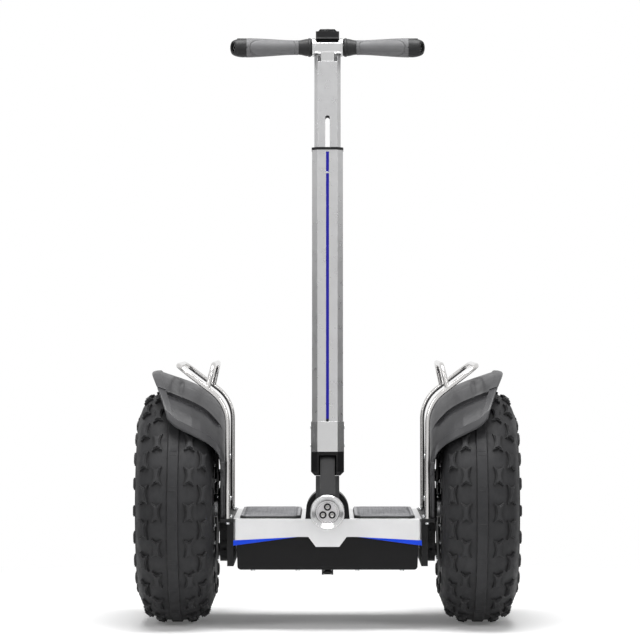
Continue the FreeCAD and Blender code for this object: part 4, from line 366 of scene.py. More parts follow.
@dataclass(frozen=True)
class GlowFinish:
    """A translucent light strip with a bright core."""

    name: str
    colour: Colour
    glow: float
    edge: float = 0.5
    cloud_size: float = 9.0

    def make(self) -> bpy.types.Material:
        """Build the material.

        Returns:
            The material, ready to be put in a slot.
        """
        tree = Tree(bpy.data.materials.new(self.name))
        cloud = tree.cloud(tree.object_place(), self.cloud_size, 3.0, 0.8, 1.1)
        normal, edge = tree.edge_share(self.edge)
        colour = tree.blend(edge, self.colour, tuple(min(1.0, c * 1.5 + 0.04) for c in self.colour))
        return tree.finish(tree.add(
            "BsdfPrincipled", Base_Color=colour, Roughness=0.25, Normal=normal,
            Emission_Color=colour, Emission_Strength=tree.product(cloud, self.glow),
            Coat_Weight=0.1, Coat_Roughness=0.1, Specular_IOR_Level=0.2,
        ))


Paint = Finish | GlowFinish

# The tyre's hollows get painted shade, darkened towards near black between the blocks.
TYRE = Finish("tyre_tread_rubber", grey(0.018, 0.0013), 0.60, sheen_level=0.26, grain=0.09,
              grain_size=1.6, pattern=Pattern.CAST, mottle=0.16, edge=0.9, wear=0.55,
              wear_colour=grey(0.06), dust=0.9)
RIM = Finish("rim_black_powder_coat", grey(0.022, 0.001), 0.42, metallic=0.1,
             pattern=Pattern.CAST, grain=0.03, wear=0.4, wear_colour=grey(0.35, 0.01))
STEEL = Finish("turned_steel", grey(0.50, 0.01), 0.30, metallic=1.0, wear=0.2,
               wear_colour=grey(0.75, 0.01), mottle=0.06)
BRIGHT_BOLT = Finish("zinc_plated_bolts", (0.68, 0.69, 0.70), 0.26, metallic=1.0, edge=0.3,
                     mottle=0.05, wear=0.1)
BLACK_PLASTIC = Finish("black_moulded_plastic", grey(0.0075, 0.0005), 0.36, wear=0.25,
                       wear_colour=grey(0.10), pattern=Pattern.LEATHER, grain_size=0.7,
                       sheen_level=0.22)
BLACK_RUBBER = Finish("black_rubber", grey(0.022), 0.62, grain=0.05, wear=0.15)
SILVER_DECK = Finish("silver_anodised_deck", grey(0.65, 0.005), 0.34, metallic=0.75,
                     pattern=Pattern.BRUSHED, brush=(0.06, 1.0, 1.0), grain=0.012,
                     grain_size=0.5, mottle=0.03, edge=0.8, wear_colour=grey(0.9))
BLACK_METAL = Finish("black_textured_metal", grey(0.0045, 0.0003), 0.40, sheen_level=0.16,
                     pattern=Pattern.LEATHER, grain=0.035, grain_size=0.9,
                     wear_colour=grey(0.16), edge=0.9)
BRACKET = Finish("black_bracket_paint", grey(0.0075, 0.0005), 0.38, sheen_level=0.22,
                 wear=0.5, wear_colour=grey(0.24), grain=0.03)
GEARBOX = Finish("black_cast_gearbox", grey(0.020, 0.001), 0.48, sheen_level=0.3,
                 pattern=Pattern.CAST, grain=0.09, grain_size=0.9, wear=0.45,
                 wear_colour=grey(0.26))
BLUE_STRIP = GlowFinish("blue_light_strip", (0.001, 0.034, 0.44), 0.26)
TUBE_STRIP = GlowFinish("deep_blue_tube_light", (0.008, 0.006, 0.20), 0.16)
BATTERY = Finish("battery_sleeve", (0.03, 0.09, 0.28), 0.35, mottle=0.04)
BOARD = Finish("green_circuit_board", (0.02, 0.12, 0.04), 0.4, mottle=0.15, mottle_size=4.0)
MAT = Finish("grey_mat_rubber", grey(0.27, 0.01), 0.66, pattern=Pattern.LEATHER,
             grain=0.10, grain_size=1.6, mottle=0.10, wear_colour=grey(0.42), edge=0.8)
FENDER = Finish("grey_moulded_fender", grey(0.028, 0.002), 0.38, sheen_level=0.38,
                pattern=Pattern.LEATHER, grain=0.045, grain_size=1.1, mottle=0.07,
                mottle_size=60.0, edge=1.4, wear=0.35, wear_colour=grey(0.17, 0.005))
CHROME_RAIL = Finish("polished_rail", (0.62, 0.61, 0.60), 0.16, metallic=1.0, mottle=0.03,
                     pattern=Pattern.BRUSHED, brush=(1.0, 0.1, 0.1), grain=0.0008,
                     grain_size=0.6, wear=0.1, edge=0.02)
POLISHED = Finish("polished_aluminium", grey(0.57, 0.002), 0.22, metallic=1.0, mottle=0.03,
                  pattern=Pattern.BRUSHED, brush=(0.08, 1.0, 1.0), grain=0.002,
                  grain_size=0.4, wear=0.15, wear_colour=grey(0.95))
SILVER_TUBE = Finish("satin_anodised_tube", grey(0.50, 0.005), 0.30, metallic=0.95,
                     pattern=Pattern.BRUSHED, brush=(1.0, 1.0, 0.04), grain=0.004,
                     grain_size=0.5, mottle=0.04, edge=0.7, wear=0.15, wear_colour=grey(0.85))
NECK = Finish("dark_cast_neck", grey(0.045, 0.001), 0.42, metallic=0.1, sheen_level=0.3,
              pattern=Pattern.CAST, grain=0.05, grain_size=0.9, edge=1.2, wear=0.4)
DISC = Finish("spun_reflector_disc", (0.50, 0.49, 0.50), 0.32, metallic=0.9, mottle=0.04)
SCREEN = Finish("dark_display_glass", (0.012, 0.013, 0.015), 0.08, coat=0.6, mottle=0.02,
                grain=0.001, wear=0.02)
DIODE = GlowFinish("lamp_diode", (0.36, 0.35, 0.32), 0.10)
GRIP = Finish("grip_hard_rubber", grey(0.013, 0.0005), 0.46, sheen_level=0.25,
              pattern=Pattern.LEATHER, grain=0.04, edge=0.8, wear=0.25, wear_colour=grey(0.12))
GRIP_INSERT = Finish("grip_soft_insert", grey(0.115, 0.003), 0.60, sheen_level=0.3,
                     pattern=Pattern.LEATHER, grain=0.06, grain_size=0.9, wear=0.2,
                     wear_colour=grey(0.26))

# The CAD nodes that show. The pieces built below stand for all others.
NODE_FINISHES: list[tuple[Paint, list[str]]] = [
    (RIM, both("rim")),
    (STEEL, both("hub") + ["axle_bearings", "drive_motors", "pivot_bearings", "pivot_shaft",
                           "clamp_skewer", "clamp_lever"]),
    (BRIGHT_BOLT, both("wheel_bolts") + ["rail_bolts"]),
    (BLACK_PLASTIC, both("hub_cap") + ["display_housing", "power_button", "guide_bush",
                                       "charge_port", "charge_port_cap"]),
    (BLACK_RUBBER, both("valve") + ["stand_foot", "lean_stops"]),
    (SILVER_DECK, ["deck_frame"]),
    (BLACK_METAL, ["lower_tub", "pivot_housing", "foot_collar"]),
    (BRACKET, both("side_bracket") + ["stand_bracket", "stand_leg"]),
    (GEARBOX, both("gearbox")),
    (BLUE_STRIP, ["front_light_strips"]),
    (TUBE_STRIP, ["tube_light_strip"]),
    (BATTERY, ["battery_pack"]),
    (BOARD, ["control_board", "balance_sensor_board", "foot_switches"]),
    (CHROME_RAIL, both("guard_rail", "grab_handle")),
    (POLISHED, ["headlight_bezel", "bright_collar", "handlebar"]),
    (SILVER_TUBE, ["outer_tube", "inner_tube"]),
    (NECK, ["neck"]),
    (DISC, ["headlight_disc"]),
]


class Paintbox:
    """Makes each finish once and puts it on nodes and pieces."""

    def __init__(self) -> None:
        """Start with no material made."""
        self.made: dict[str, bpy.types.Material] = {}

    def dress(self, piece: bpy.types.Object, finish: Paint) -> None:
        """Put one finish on the whole of a piece or node.

        Args:
            piece: The mesh object.
            finish: Its finish, which is made into a material at its first use.
        """
        if finish.name not in self.made:
            self.made[finish.name] = finish.make()
        if not piece.material_slots:
            piece.data.materials.append(None)
        for slot in piece.material_slots:
            slot.material = self.made[finish.name]

    def dress_nodes(self) -> None:
        """Put its finish on every CAD node that shows."""
        for finish, names in NODE_FINISHES:
            for name in names:
                self.dress(frame["nodes"][name], finish)


PAINTBOX = Paintbox()


# Modelling by hand


def upward(centre: Vector, normal: Vector) -> bool:
    """Tell whether a face looks up."""
    return normal.z > FLAT


def upward_near(reach: float, x: float = 0.0, y: float = 0.0) -> FaceTest:
    """Return a test for raised faces that look up and lie near a place."""
    return lambda centre, normal: (
        upward(centre, normal) and centre.z > 0
        and max(abs(centre.x - x * MM), abs(centre.y - y * MM)) < reach * MM
    )


class Work:
    """One mesh under work, shaped with edit-mode operators on selections made by place."""

    weld = 0.01

    def __init__(self, name: str) -> None:
        """Take the active object as the work piece, with its place settled in its mesh.

        Args:
            name: The name the piece gets.
        """
        bpy.ops.object.transform_apply()
        self.piece = bpy.context.view_layer.objects.active
        self.piece.name = self.piece.data.name = name

    @staticmethod
    def clear() -> None:
        """Deselect everything."""
        for item in bpy.context.view_layer.objects:
            item.select_set(False)

    @classmethod
    def cylinder(cls, name: str, radius: float, height: float, sides: int) -> "Work":
        """Start from a cylinder that stands on the XY plane.

        Args:
            name: The piece's name.
            radius: Its radius.
            height: Its height.
            sides: How many sides go round.

        Returns:
            The new work piece.
        """
        cls.clear()
        bpy.ops.mesh.primitive_cylinder_add(vertices=sides, radius=radius * MM,
                                            depth=height * MM, location=metres(0, 0, height / 2))
        return cls(name)

    @classmethod
    def block(cls, name: str, low: Point, high: Point) -> "Work":
        """Start from a box.

        Args:
            name: The piece's name.
            low: The corner with the lowest coordinates.
            high: The corner with the highest.

        Returns:
            The new work piece.
        """
        cls.clear()
        middle = [(one + other) / 2 for one, other in zip(low, high)]
        bpy.ops.mesh.primitive_cube_add(size=1, location=metres(*middle))
        bpy.context.object.scale = metres(*(other - one for one, other in zip(low, high)))
        return cls(name)

    @classmethod
    def trace(cls, name: str, points: Sequence[Point], filled: bool = False) -> "Work":
        """Start from one point and extrude it along a line of points.

        Args:
            name: The piece's name.
            points: The points in order.
            filled: Whether the line is closed and filled with a face.

        Returns:
            The new work piece.
        """
        cls.clear()
        bpy.ops.mesh.primitive_plane_add(size=MM, location=metres(*points[0]))
        work = cls(name)
        work.edit(kind="VERT")
        bpy.ops.mesh.merge(type="CENTER")
        for start, end in zip(points, points[1:]):
            step = metres(*end) - metres(*start)
            bpy.ops.mesh.extrude_region_move(TRANSFORM_OT_translate={"value": step})
        if filled:
            bpy.ops.mesh.select_all(action="SELECT")
            bpy.ops.mesh.edge_face_add()
        return work.done()

    @classmethod
    def slab(cls, name: str, outline: Sequence[Point], low: float, high: float) -> "Work":
        """Start from an outline seen from above that stands between two heights."""
        work = cls.trace(name, [(x, y, low) for x, y in outline], filled=True)
        return work.extrude((0, 0, high - low))

    @classmethod
    def lathe(cls, name: str, profile: Table, axis: Axis, steps: int,
              closed: bool = True) -> "Work":
        """Start from a profile in the XZ plane that is turned about an axis.

        Args:
            name: The piece's name.
            profile: The profile's points in order.
            axis: The axis.
            steps: How many faces go round.
            closed: Whether the last point joins the first.

        Returns:
            The new work piece.
        """
        points = [(x, 0.0, z) for x, z in profile]
        work = cls.trace(name, [*points, points[0]] if closed else points)
        work.edit(kind="VERT")
        bpy.ops.mesh.spin(steps=steps, angle=math.tau, axis=axis.value, center=(0, 0, 0))
        bpy.ops.mesh.select_all(action="SELECT")
        bpy.ops.mesh.remove_doubles(threshold=cls.weld * MM)
        bpy.ops.mesh.normals_make_consistent(inside=False)
        return work.done()

    def take(self) -> None:
        """Select this piece alone and make it the active one."""
        self.clear()
        self.piece.select_set(True)
        bpy.context.view_layer.objects.active = self.piece

    def edit(self, faces: FaceTest | None = None, kind: str = "FACE") -> None:
        """Enter edit mode.

        Args:
            faces: The test on centre and normal that selected faces pass, or None for all.
            kind: What is selected, FACE or VERT.
        """
        self.take()
        bpy.ops.object.mode_set(mode="EDIT")
        bpy.ops.mesh.select_mode(type=kind)
        bpy.ops.mesh.select_all(action="DESELECT" if faces else "SELECT")
        if faces:
            bpy.ops.object.mode_set(mode="OBJECT")
            for face in self.piece.data.polygons:
                face.select = faces(face.center, face.normal)
            bpy.ops.object.mode_set(mode="EDIT")

    def done(self) -> "Work":
        """Leave edit mode."""
        bpy.ops.object.mode_set(mode="OBJECT")
        return self

    def extrude(self, step: Point, faces: FaceTest | None = None) -> "Work":
        """Extrude the selected faces by a step.

        Args:
            step: The step along the three axes.
            faces: Which faces, or None for all.

        Returns:
            The piece.
        """
        self.edit(faces)
        bpy.ops.mesh.extrude_region_move(TRANSFORM_OT_translate={"value": metres(*step)})
        return self.done()

    def inset(self, thickness: float, faces: FaceTest, depth: float = 0.0) -> "Work":
        """Inset the selected faces as one region, then sink or raise them.

        Args:
            thickness: The width of the rim.
            faces: Which faces.
            depth: How far they are raised.

        Returns:
            The piece.
        """
        self.edit(faces)
        bpy.ops.mesh.inset(thickness=thickness * MM, depth=0.0)
        if depth:
            bpy.ops.mesh.extrude_region_shrink_fatten(
                TRANSFORM_OT_shrink_fatten={"value": depth * MM}
            )
        return self.done()

    def recalculate(self) -> "Work":
        """Point all faces outwards.

        Returns:
            The piece.
        """
        self.edit()
        bpy.ops.mesh.normals_make_consistent(inside=False)
        return self.done()

    def modify(self, kind: str, **settings: object) -> "Work":
        """Apply a modifier.

        Args:
            kind: The modifier's type.
            settings: Its settings.

        Returns:
            The piece.
        """
        modifier = self.piece.modifiers.new(kind.title(), kind)
        for key, value in settings.items():
            setattr(modifier, key, value)
        self.take()
        bpy.ops.object.modifier_apply(modifier=modifier.name)
        return self

    def bevel(self, width: float, segments: int = 2, angle: float = 30.0) -> "Work":
        """Round all edges sharper than an angle."""
        return self.modify("BEVEL", width=width * MM, segments=segments, limit_method="ANGLE",
                           angle_limit=math.radians(angle))

    def smooth(self, angle: float = 40.0) -> "Work":
        """Shade smoothly except over sharp edges.

        Args:
            angle: The angle from which an edge is sharp.

        Returns:
            The piece.
        """
        self.take()
        bpy.ops.object.shade_smooth_by_angle(angle=math.radians(angle))
        return self

    def place(self, matrix: Matrix) -> "Work":
        """Move the mesh and leave the object at the origin.

        Args:
            matrix: The move.

        Returns:
            The piece.
        """
        self.take()
        self.piece.matrix_world = matrix
        bpy.ops.object.transform_apply()
        return self

    def reshape(self, move: Callable[[Vector], Vector]) -> "Work":
        """Move every vertex to where a function says.

        Args:
            move: The function, from the old place to the new one.

        Returns:
            The piece.
        """
        for vertex in self.piece.data.vertices:
            vertex.co = move(vertex.co / MM) * MM
        self.piece.data.update()
        return self

    def copies(self, matrices: Iterable[Matrix]) -> "Work":
        """Replace the piece by copies of it, joined into one mesh.

        Args:
            matrices: Where the copies go. A mirrored one keeps its faces outwards.

        Returns:
            The piece.
        """
        made = []
        for matrix in matrices:
            copy = self.piece.copy()
            copy.data = self.piece.data.copy()
            copy.data.transform(matrix)
            if matrix.determinant() < 0:
                copy.data.flip_normals()
            bpy.context.scene.collection.objects.link(copy)
            made.append(copy)
        name = self.piece.name
        bpy.data.objects.remove(self.piece)
        self.piece = made[0]
        self.take()
        for copy in made:
            copy.select_set(True)
        bpy.ops.object.join()
        self.piece.name = name
        return self

    def join(self, *others: "Work") -> "Work":
        """Join other work pieces into this one.

        Args:
            others: The other pieces.

        Returns:
            The piece.
        """
        self.take()
        for other in others:
            other.piece.select_set(True)
        bpy.ops.object.join()
        return self

    def finish(self, body: str, finish: Paint, *replaced: str) -> None:
        """Dress the piece, let it ride on a body and report it.

        Args:
            body: The CAD body it moves with.
            finish: Its finish.
            replaced: CAD nodes that it stands for.
        """
        PAINTBOX.dress(self.piece, finish)
        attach(self.piece, body)
        if replaced:
            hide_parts(*replaced)
        log.info("%s: %d faces on %s", self.piece.name, len(self.piece.data.polygons), body)


# Wheels


@dataclass
class Tyre:
    """A wide knobbly tyre: a moulded carcass with rows of stepped, waisted tread blocks."""

    side: Side
    track_half: float = 308.0
    crest: float = 234.5
    knob_count: int = 20
    knob_half_width: float = 10.6
    knob_waist: float = 5.6
    knob_half_length: float = 19.6
    knob_notch: float = 6.0
    knob_sink: float = 3.0
    knob_step: float = 4.4
    knob_top: float = 2.4
    knob_ledge: float = 1.9
    knob_flare: tuple[float, float] = (0.80, 0.72)
    knob_bulge: tuple[float, float] = (1.0, 0.36)
    rows: tuple[tuple[float, float, float, float], ...] = (
        # place across, radius there, slope of the crown, and start as a share of the pitch
        (32.0, 232.4, 12.0, 0.0),
        (57.0, 220.0, 37.0, 0.5),
    )
    lug_half_size: Triple = (3.6, 11.0, 8.0)
    lug_sink: float = 4.0
    lug_ledge: float = 2.4
    lug_top: float = 1.0
    lug_reach: float = 6.0
    lug_place: tuple[float, float] = (77.2, 173.0)
    mark_half_size: Triple = (8.0, 0.5, 0.35)
    mark_shares: tuple[float, float] = (0.30, 0.42)
    rib_radius: float = 239.0
    section: Table = (
        # place across and radius, from the middle out, round the bead and back inside
        (0, 239.0), (9.6, 239.0), (10.4, 238.2), (10.8, 236.0), (11.6, 235.0), (14.4, 234.9),
        (22, 234.5), (33, 232.2), (44.2, 228.2), (54, 221.8), (62, 215.0), (64.8, 212.8),
        (70.6, 203.0), (74.4, 193.0), (76.0, 188.0), (77.0, 187.6), (77.6, 184.0),
        (77.4, 182.8), (78.0, 176.0), (78.6, 165.0), (78.5, 156.0), (79.3, 155.0),
        (79.2, 152.4), (77.9, 151.4), (76.6, 142.0), (74.6, 133.0), (75.2, 131.6),
        (74.4, 129.4), (72.8, 128.6), (68.6, 116.0), (64.6, 109.4), (61.0, 104.0),
        (58.6, 101.6), (50.0, 101.6), (50.0, 106.0), (60.0, 120.0), (69.0, 150.0),
        (68.0, 180.0), (58.0, 206.0), (40.0, 220.0), (0, 226.0),
    )

    @property
    def pitch(self) -> float:
        """The angle from one tread block to the next."""
        return 360 / self.knob_count

    def carcass(self) -> Work:
        """Turn the carcass with its ribs and grooves from its section."""
        ring = [*self.section, *[(-x, radius) for x, radius in reversed(self.section[1:-1])]]
        return Work.lathe(f"knobbly_tyre_{self.side.word}", ring, Axis.X, 120)

    def knob(self) -> Work:
        """Model one tread block: waisted outline, a lower step and a raised top.

        Returns:
            The block, on the crown's curve.
        """
        wide, waist, end = self.knob_half_width, self.knob_waist, self.knob_half_length
        notch = end - self.knob_notch
        (x_share, y_share), (bulge, near_share) = self.knob_flare, self.knob_bulge
        quarter = [(wide, end), (wide * x_share, end * y_share),
                   (waist + bulge, end * near_share), (waist, 0.0)]
        right = quarter + [(x, -y) for x, y in reversed(quarter[:-1])]
        outline = [*right, (0.0, -notch), *[(-x, y) for x, y in reversed(right)], (0.0, notch)]
        work = Work.slab("knob", outline, -self.knob_sink, self.knob_step)
        work.inset(self.knob_ledge, upward)
        work.extrude((0, 0, self.knob_top), upward_near(0.5))
        work.recalculate().bevel(0.7)
        return work.reshape(lambda v: Vector((v.x, v.y, v.z - v.y * v.y / (2 * self.crest))))

    def knobs(self) -> Work:
        """Copy the tread block along both rows on both sides of the crown."""
        return self.knob().copies(
            turn(self.pitch * (start + step), "X") @ shift(across * way, 0, radius)
            @ turn(slope * way, "Y")
            for across, radius, slope, start in self.rows
            for way in (1, -1) for step in range(self.knob_count)
        )

    def lugs(self) -> Work:
        """Model a side lug and copy it round both shoulders.

        Returns:
            All lugs.
        """
        out, along, up = self.lug_half_size
        work = Work.block("lug", (-self.lug_sink, -along, -up), (out, along, up))
        work.inset(self.lug_ledge, lambda centre, normal: normal.x > FLAT)
        work.extrude((self.lug_top, 0, 0), lambda centre, normal: normal.x > FLAT
                     and centre.length < self.lug_reach * MM)
        across, radius = self.lug_place
        return work.bevel(0.8).copies(
            turn(self.pitch * step, "X") @ side.flip @ shift(across, 0, radius)
            for side in Side for step in range(self.knob_count)
        )

    def rib_marks(self) -> Work:
        """Model a fine raised mark and copy it round the smooth centre rib.

        Returns:
            All marks.
        """
        half, thin, rise = self.mark_half_size
        work = Work.block("rib_mark", (-half, -thin, -1.0), (half, thin, rise))
        return work.bevel(0.2, 1).copies(
            turn(self.pitch * (step + share), "X") @ shift(0, 0, self.rib_radius)
            for step in range(self.knob_count) for share in self.mark_shares
        )

    def build(self) -> None:
        """Build the whole tyre in place of its CAD node."""
        tyre = self.carcass().join(self.knobs(), self.lugs(), self.rib_marks()).smooth(32)
        tyre.place(shift(self.track_half * self.side.value, 0, AXLE_HEIGHT))
        tyre.finish(f"{self.side.word}_wheel", TYRE, f"tyre_{self.side.word}")


# Fenders


@dataclass(frozen=True)
class Relief:
    """Bands, ridges and hollows over the fender's plain crown."""

    shoulder: tuple[float, float] = (212.0, 224.0)
    ridge_place: float = 130 * MM
    ridge_rise: float = 2.2
    ridge_fade: float = 9.0
    step_depth: float = 7.0
    step_edge: float = 0.8
    step_fade: float = 18.0
    valley_place: float = 303.0
    valley_width: float = 9.0
    valley_depth: float = 7.0
    valley_fade: float = 14.0
    valley_start: tuple[float, float] = (8.0, 58.0)
    hollow_place: float = 80 * MM
    hollow_depth: float = 6.5
    hollow_edge: float = 2.5
    hollow_fade: float = 60.0
    hollow_end: tuple[float, float] = (288.0, 252.0)
    band_rise: float = 3.4

    def height(self, across: float, along: float, in_band: bool) -> float:
        """Read the relief at a place, all in metres.

        Args:
            across: Place across the machine.
            along: Distance ahead of or behind the axle.
            in_band: Whether the place lies on the raised band.

        Returns:
            The height along the radius.
        """
        beyond, sunk = (along - self.ridge_place) / MM, (self.hollow_place - along) / MM
        across, along = across / MM, along / MM
        inside = ramp(across, *self.shoulder)
        if beyond > 0:
            edge = 1 - math.exp(-beyond / self.step_edge)
            height = -self.step_depth * math.exp(-beyond / self.step_fade) * inside * edge
        else:
            valley = (across - self.valley_place) / self.valley_width
            deep = math.exp(-valley * valley) * (1 - math.exp(beyond / self.valley_fade))
            height = self.ridge_rise * math.exp(beyond / self.ridge_fade) * inside
            height -= self.valley_depth * deep * ramp(along, *self.valley_start)
        if sunk > 0:
            edge = 1 - math.exp(-sunk / self.hollow_edge)
            fade = math.exp(-sunk / self.hollow_fade) * ramp(across, *self.hollow_end)
            height -= self.hollow_depth * edge * fade * inside
        return (max(height, 0.0) + self.band_rise if in_band else height) * MM


@dataclass
class Fender:
    """A moulded fender: crown with a raised band, creases and an inner plate with lips."""

    side: Side
    relief: Relief = Relief()
    inner: float = 206.0
    wall: float = 3.6
    bend: float = 254 * MM
    outer: float = 361 * MM
    plan_radius: float = 487 * MM
    band_width: float = 17 * MM
    end_drop: float = 5 * MM
    first_angle: float = 0.5
    rounds: int = 6
    roll_share: float = 0.16
    roll_depth: float = 2.6 * MM
    plate_radius: float = 187.0
    plate_arc: float = 69.0
    arch_radius: float = 58.0
    arch_arc: float = 106.5
    lip_width: float = 8.6
    lip_back: tuple[float, float] = (-4.2, 0.8)
    section: Table = (
        # place across and radius from the axle, from the inner wall out to the edge
        (207.6, 183.0), (206.0, 188.0), (207.1, 196.0), (210.6, 205.0), (216.6, 214.2),
        (223.4, 220.6), (230.0, 226.6), (241.0, 235.9), (254.0, 243.6), (272.0, 252.0),
        (300.0, 262.0), (328.0, 271.4), (341.0, 275.6), (352.0, 275.0), (361.0, 272.6),
    )
    shoulder_spans: int = 8
    front_edge: Table = (
        # place across and angle from the top where the fender's end lies
        (206.0, 70.0), (212.0, 68.0), (214.0, 62.0), (217.0, 59.2), (221.6, 57.0), (229.0, 55.3),
        (237.0, 54.3), (252.0, 53.4), (266.0, 52.5), (282.0, 51.3), (298.7, 50.0),
        (306.0, 49.1), (312.4, 47.9), (319.0, 46.2), (361.0, 45.0),
    )
    plate_side: Table = ((165, -16.5), (168, 20), (174, 50))
    lip_line: Table = (
        (165.0, -16.5), (168.0, 20.0), (174.0, 50.0), (181.0, 70.0), (190.0, 88.0), (196.0, 98.0),
    )
    across_steps: tuple[int, ...] = (22, 34, 12)
    across_extra: tuple[float, ...] = (2.001, 3.0)
    along_steps: tuple[int, ...] = (16, 16, 22, 12)
    along_extra: tuple[float, ...] = (1.002, 2.001, 2.03, 3.001, 4.0)

    @staticmethod
    def read(table: Table, place: float) -> float:
        """Read a table of places and values, in between by a straight line.

        Args:
            table: The table.
            place: The place, which may lie before or beyond the table.

        Returns:
            The value.
        """
        for (one, low), (two, high) in zip(table, table[1:]):
            if place <= two:
                return low + (high - low) * ramp(place, one, two)
        return table[-1][1]

    def radius(self, across: float) -> float:
        """Radius of the crown outside its inner wall at a place across, in metres."""
        return self.read(self.section[1:], across / MM) * MM

    def edge(self, along: float) -> float:
        """Place across of the outer edge at a distance from the axle, in metres."""
        return self.outer - self.plan_radius + math.sqrt(self.plan_radius ** 2 - along ** 2)

    def section_point(self, lane: float, edge: float) -> tuple[float, float]:
        """Find a point of the plain crown's section, in metres.

        Args:
            lane: 0 to 1 over the shoulder, 1 to 2 over the crown, 2 to 3 over the band.
            edge: Place across of the outer edge.

        Returns:
            Place across and radius.
        """
        if lane <= 1:
            low = min(self.shoulder_spans - 1, int(lane * self.shoulder_spans))
            share = lane * self.shoulder_spans - low
            one, two = self.section[low:low + 2]
            return tuple((start + (end - start) * share) * MM for start, end in zip(one, two))
        band = edge - self.band_width
        if lane <= 2:
            across = self.bend + (band - self.bend) * (lane - 1)
        else:
            across = band + (edge - band) * (lane - 2)
        return across, self.radius(across)

    def crown_point(self, lane: float, row: float) -> Vector:
        """Place one grid point on the crown.

        Args:
            lane: 0 to 1 over the shoulder, 1 to 2 over the crown, 2 to 3 over the band.
            row: 0 to 1 to the hollow's edge, 1 to 2 to the ridge, 2 to 3 to the band, 3 to 4
                over the band at the end; negative towards the back.

        Returns:
            The point with the axle as origin.
        """
        part = min(3, int(abs(row)))
        angle, radius = self.first_angle, self.radius(self.bend)
        for _ in range(self.rounds):  # the edge depends on the angle, and the angle on the radius
            across, radius = self.section_point(lane, self.edge(radius * math.sin(angle)))
            end = math.radians(self.read(self.front_edge, across / MM))
            stops = [0.0, math.asin(self.relief.hollow_place / radius),
                     math.asin(self.relief.ridge_place / radius), end - self.band_width / radius,
                     end]
            angle = stops[part] + (stops[part + 1] - stops[part]) * (abs(row) - part)
        in_band = lane > 2 or abs(row) > 3
        roll = max(ramp(abs(row), 4 - self.roll_share, 4), ramp(lane, 3 - self.roll_share, 3))
        radius += self.relief.height(across, radius * math.sin(angle), in_band)
        radius -= self.end_drop * max(0.0, abs(row) - 3) + self.roll_depth * roll ** 2
        angle = math.copysign(angle, row)
        return Vector((across, -radius * math.sin(angle), radius * math.cos(angle))) / MM

    @staticmethod
    def stations(steps: Sequence[int], extra: Sequence[float]) -> list[float]:
        """Even shares of each span, 0 to 1 over the first, 1 to 2 over the next, and extras."""
        even = [span + step / count for span, count in enumerate(steps) for step in range(count)]
        return sorted({*even, *extra})

    def crown(self) -> Work:
        """Shape the crown from a flat grid and give it its thickness.

        Returns:
            The crown.
        """
        lanes = self.stations(self.across_steps, self.across_extra)
        rows = self.stations(self.along_steps, self.along_extra)
        rows = sorted({*rows, *(-row for row in rows)})
        wide, long = len(lanes) - 1, len(rows) - 1
        Work.clear()
        bpy.ops.mesh.primitive_grid_add(x_subdivisions=wide, y_subdivisions=long, size=MM)
        work = Work(f"creased_fender_{self.side.word}")
        work.reshape(lambda v: self.crown_point(
            lanes[round((v.x + 0.5) * wide)], rows[round((v.y + 0.5) * long)]
        ))
        return work.recalculate().modify("SOLIDIFY", thickness=self.wall * MM, offset=-1)

    @staticmethod
    def ring(radius: float, arc: float, count: int) -> list[tuple[float, float]]:
        """Points of an arc about the axle, from an angle ahead of the top to the same behind."""
        turns = [math.radians(arc - 2 * arc * step / count) for step in range(count + 1)]
        return [(-radius * math.sin(angle), radius * math.cos(angle)) for angle in turns]

    def sheet(self, name: str, outline: Sequence[Point], width: float, soft: float) -> Work:
        """Model a flat upright piece on the inner wall, from its outline seen from the side."""
        work = Work.trace(name, [(self.inner, *point) for point in outline], filled=True)
        return work.extrude((width, 0, 0)).recalculate().bevel(soft)

    def plate(self) -> Work:
        """Model the flat inner plate with an arch round the gearbox.

        Returns:
            The plate.
        """
        outline = [*[(-along, up) for along, up in self.plate_side],
                   *self.ring(self.plate_radius, self.plate_arc, 60),
                   *reversed(self.plate_side), *self.ring(self.arch_radius, -self.arch_arc, 32)]
        return self.sheet("fender_plate", outline, self.wall, 0.8)

    def lips(self) -> list[Work]:
        """Model the turned lips down the front and the back of the plate.

        Returns:
            Both lips.
        """
        along_step, up_step = self.lip_back
        back = [(along + along_step, up + up_step) for along, up in reversed(self.lip_line)]
        return [self.sheet("fender_lip", [(along * way, up) for along, up in
                                          (*self.lip_line, *back)], self.lip_width, 0.9)
                for way in (1, -1)]

    def build(self) -> None:
        """Build the fender in place of its CAD node."""
        shell = self.crown().join(self.plate(), *self.lips())
        shell.copies([shift(0, 0, AXLE_HEIGHT) @ self.side.flip]).smooth(38)
        shell.finish("chassis", FENDER, f"fender_{self.side.word}")


# Handlebar


COLUMN = shift(0, -188, AXLE_HEIGHT) @ turn(-3, "X")
HEAD = COLUMN @ shift(0, 0, 933) @ turn(9.6, "X")


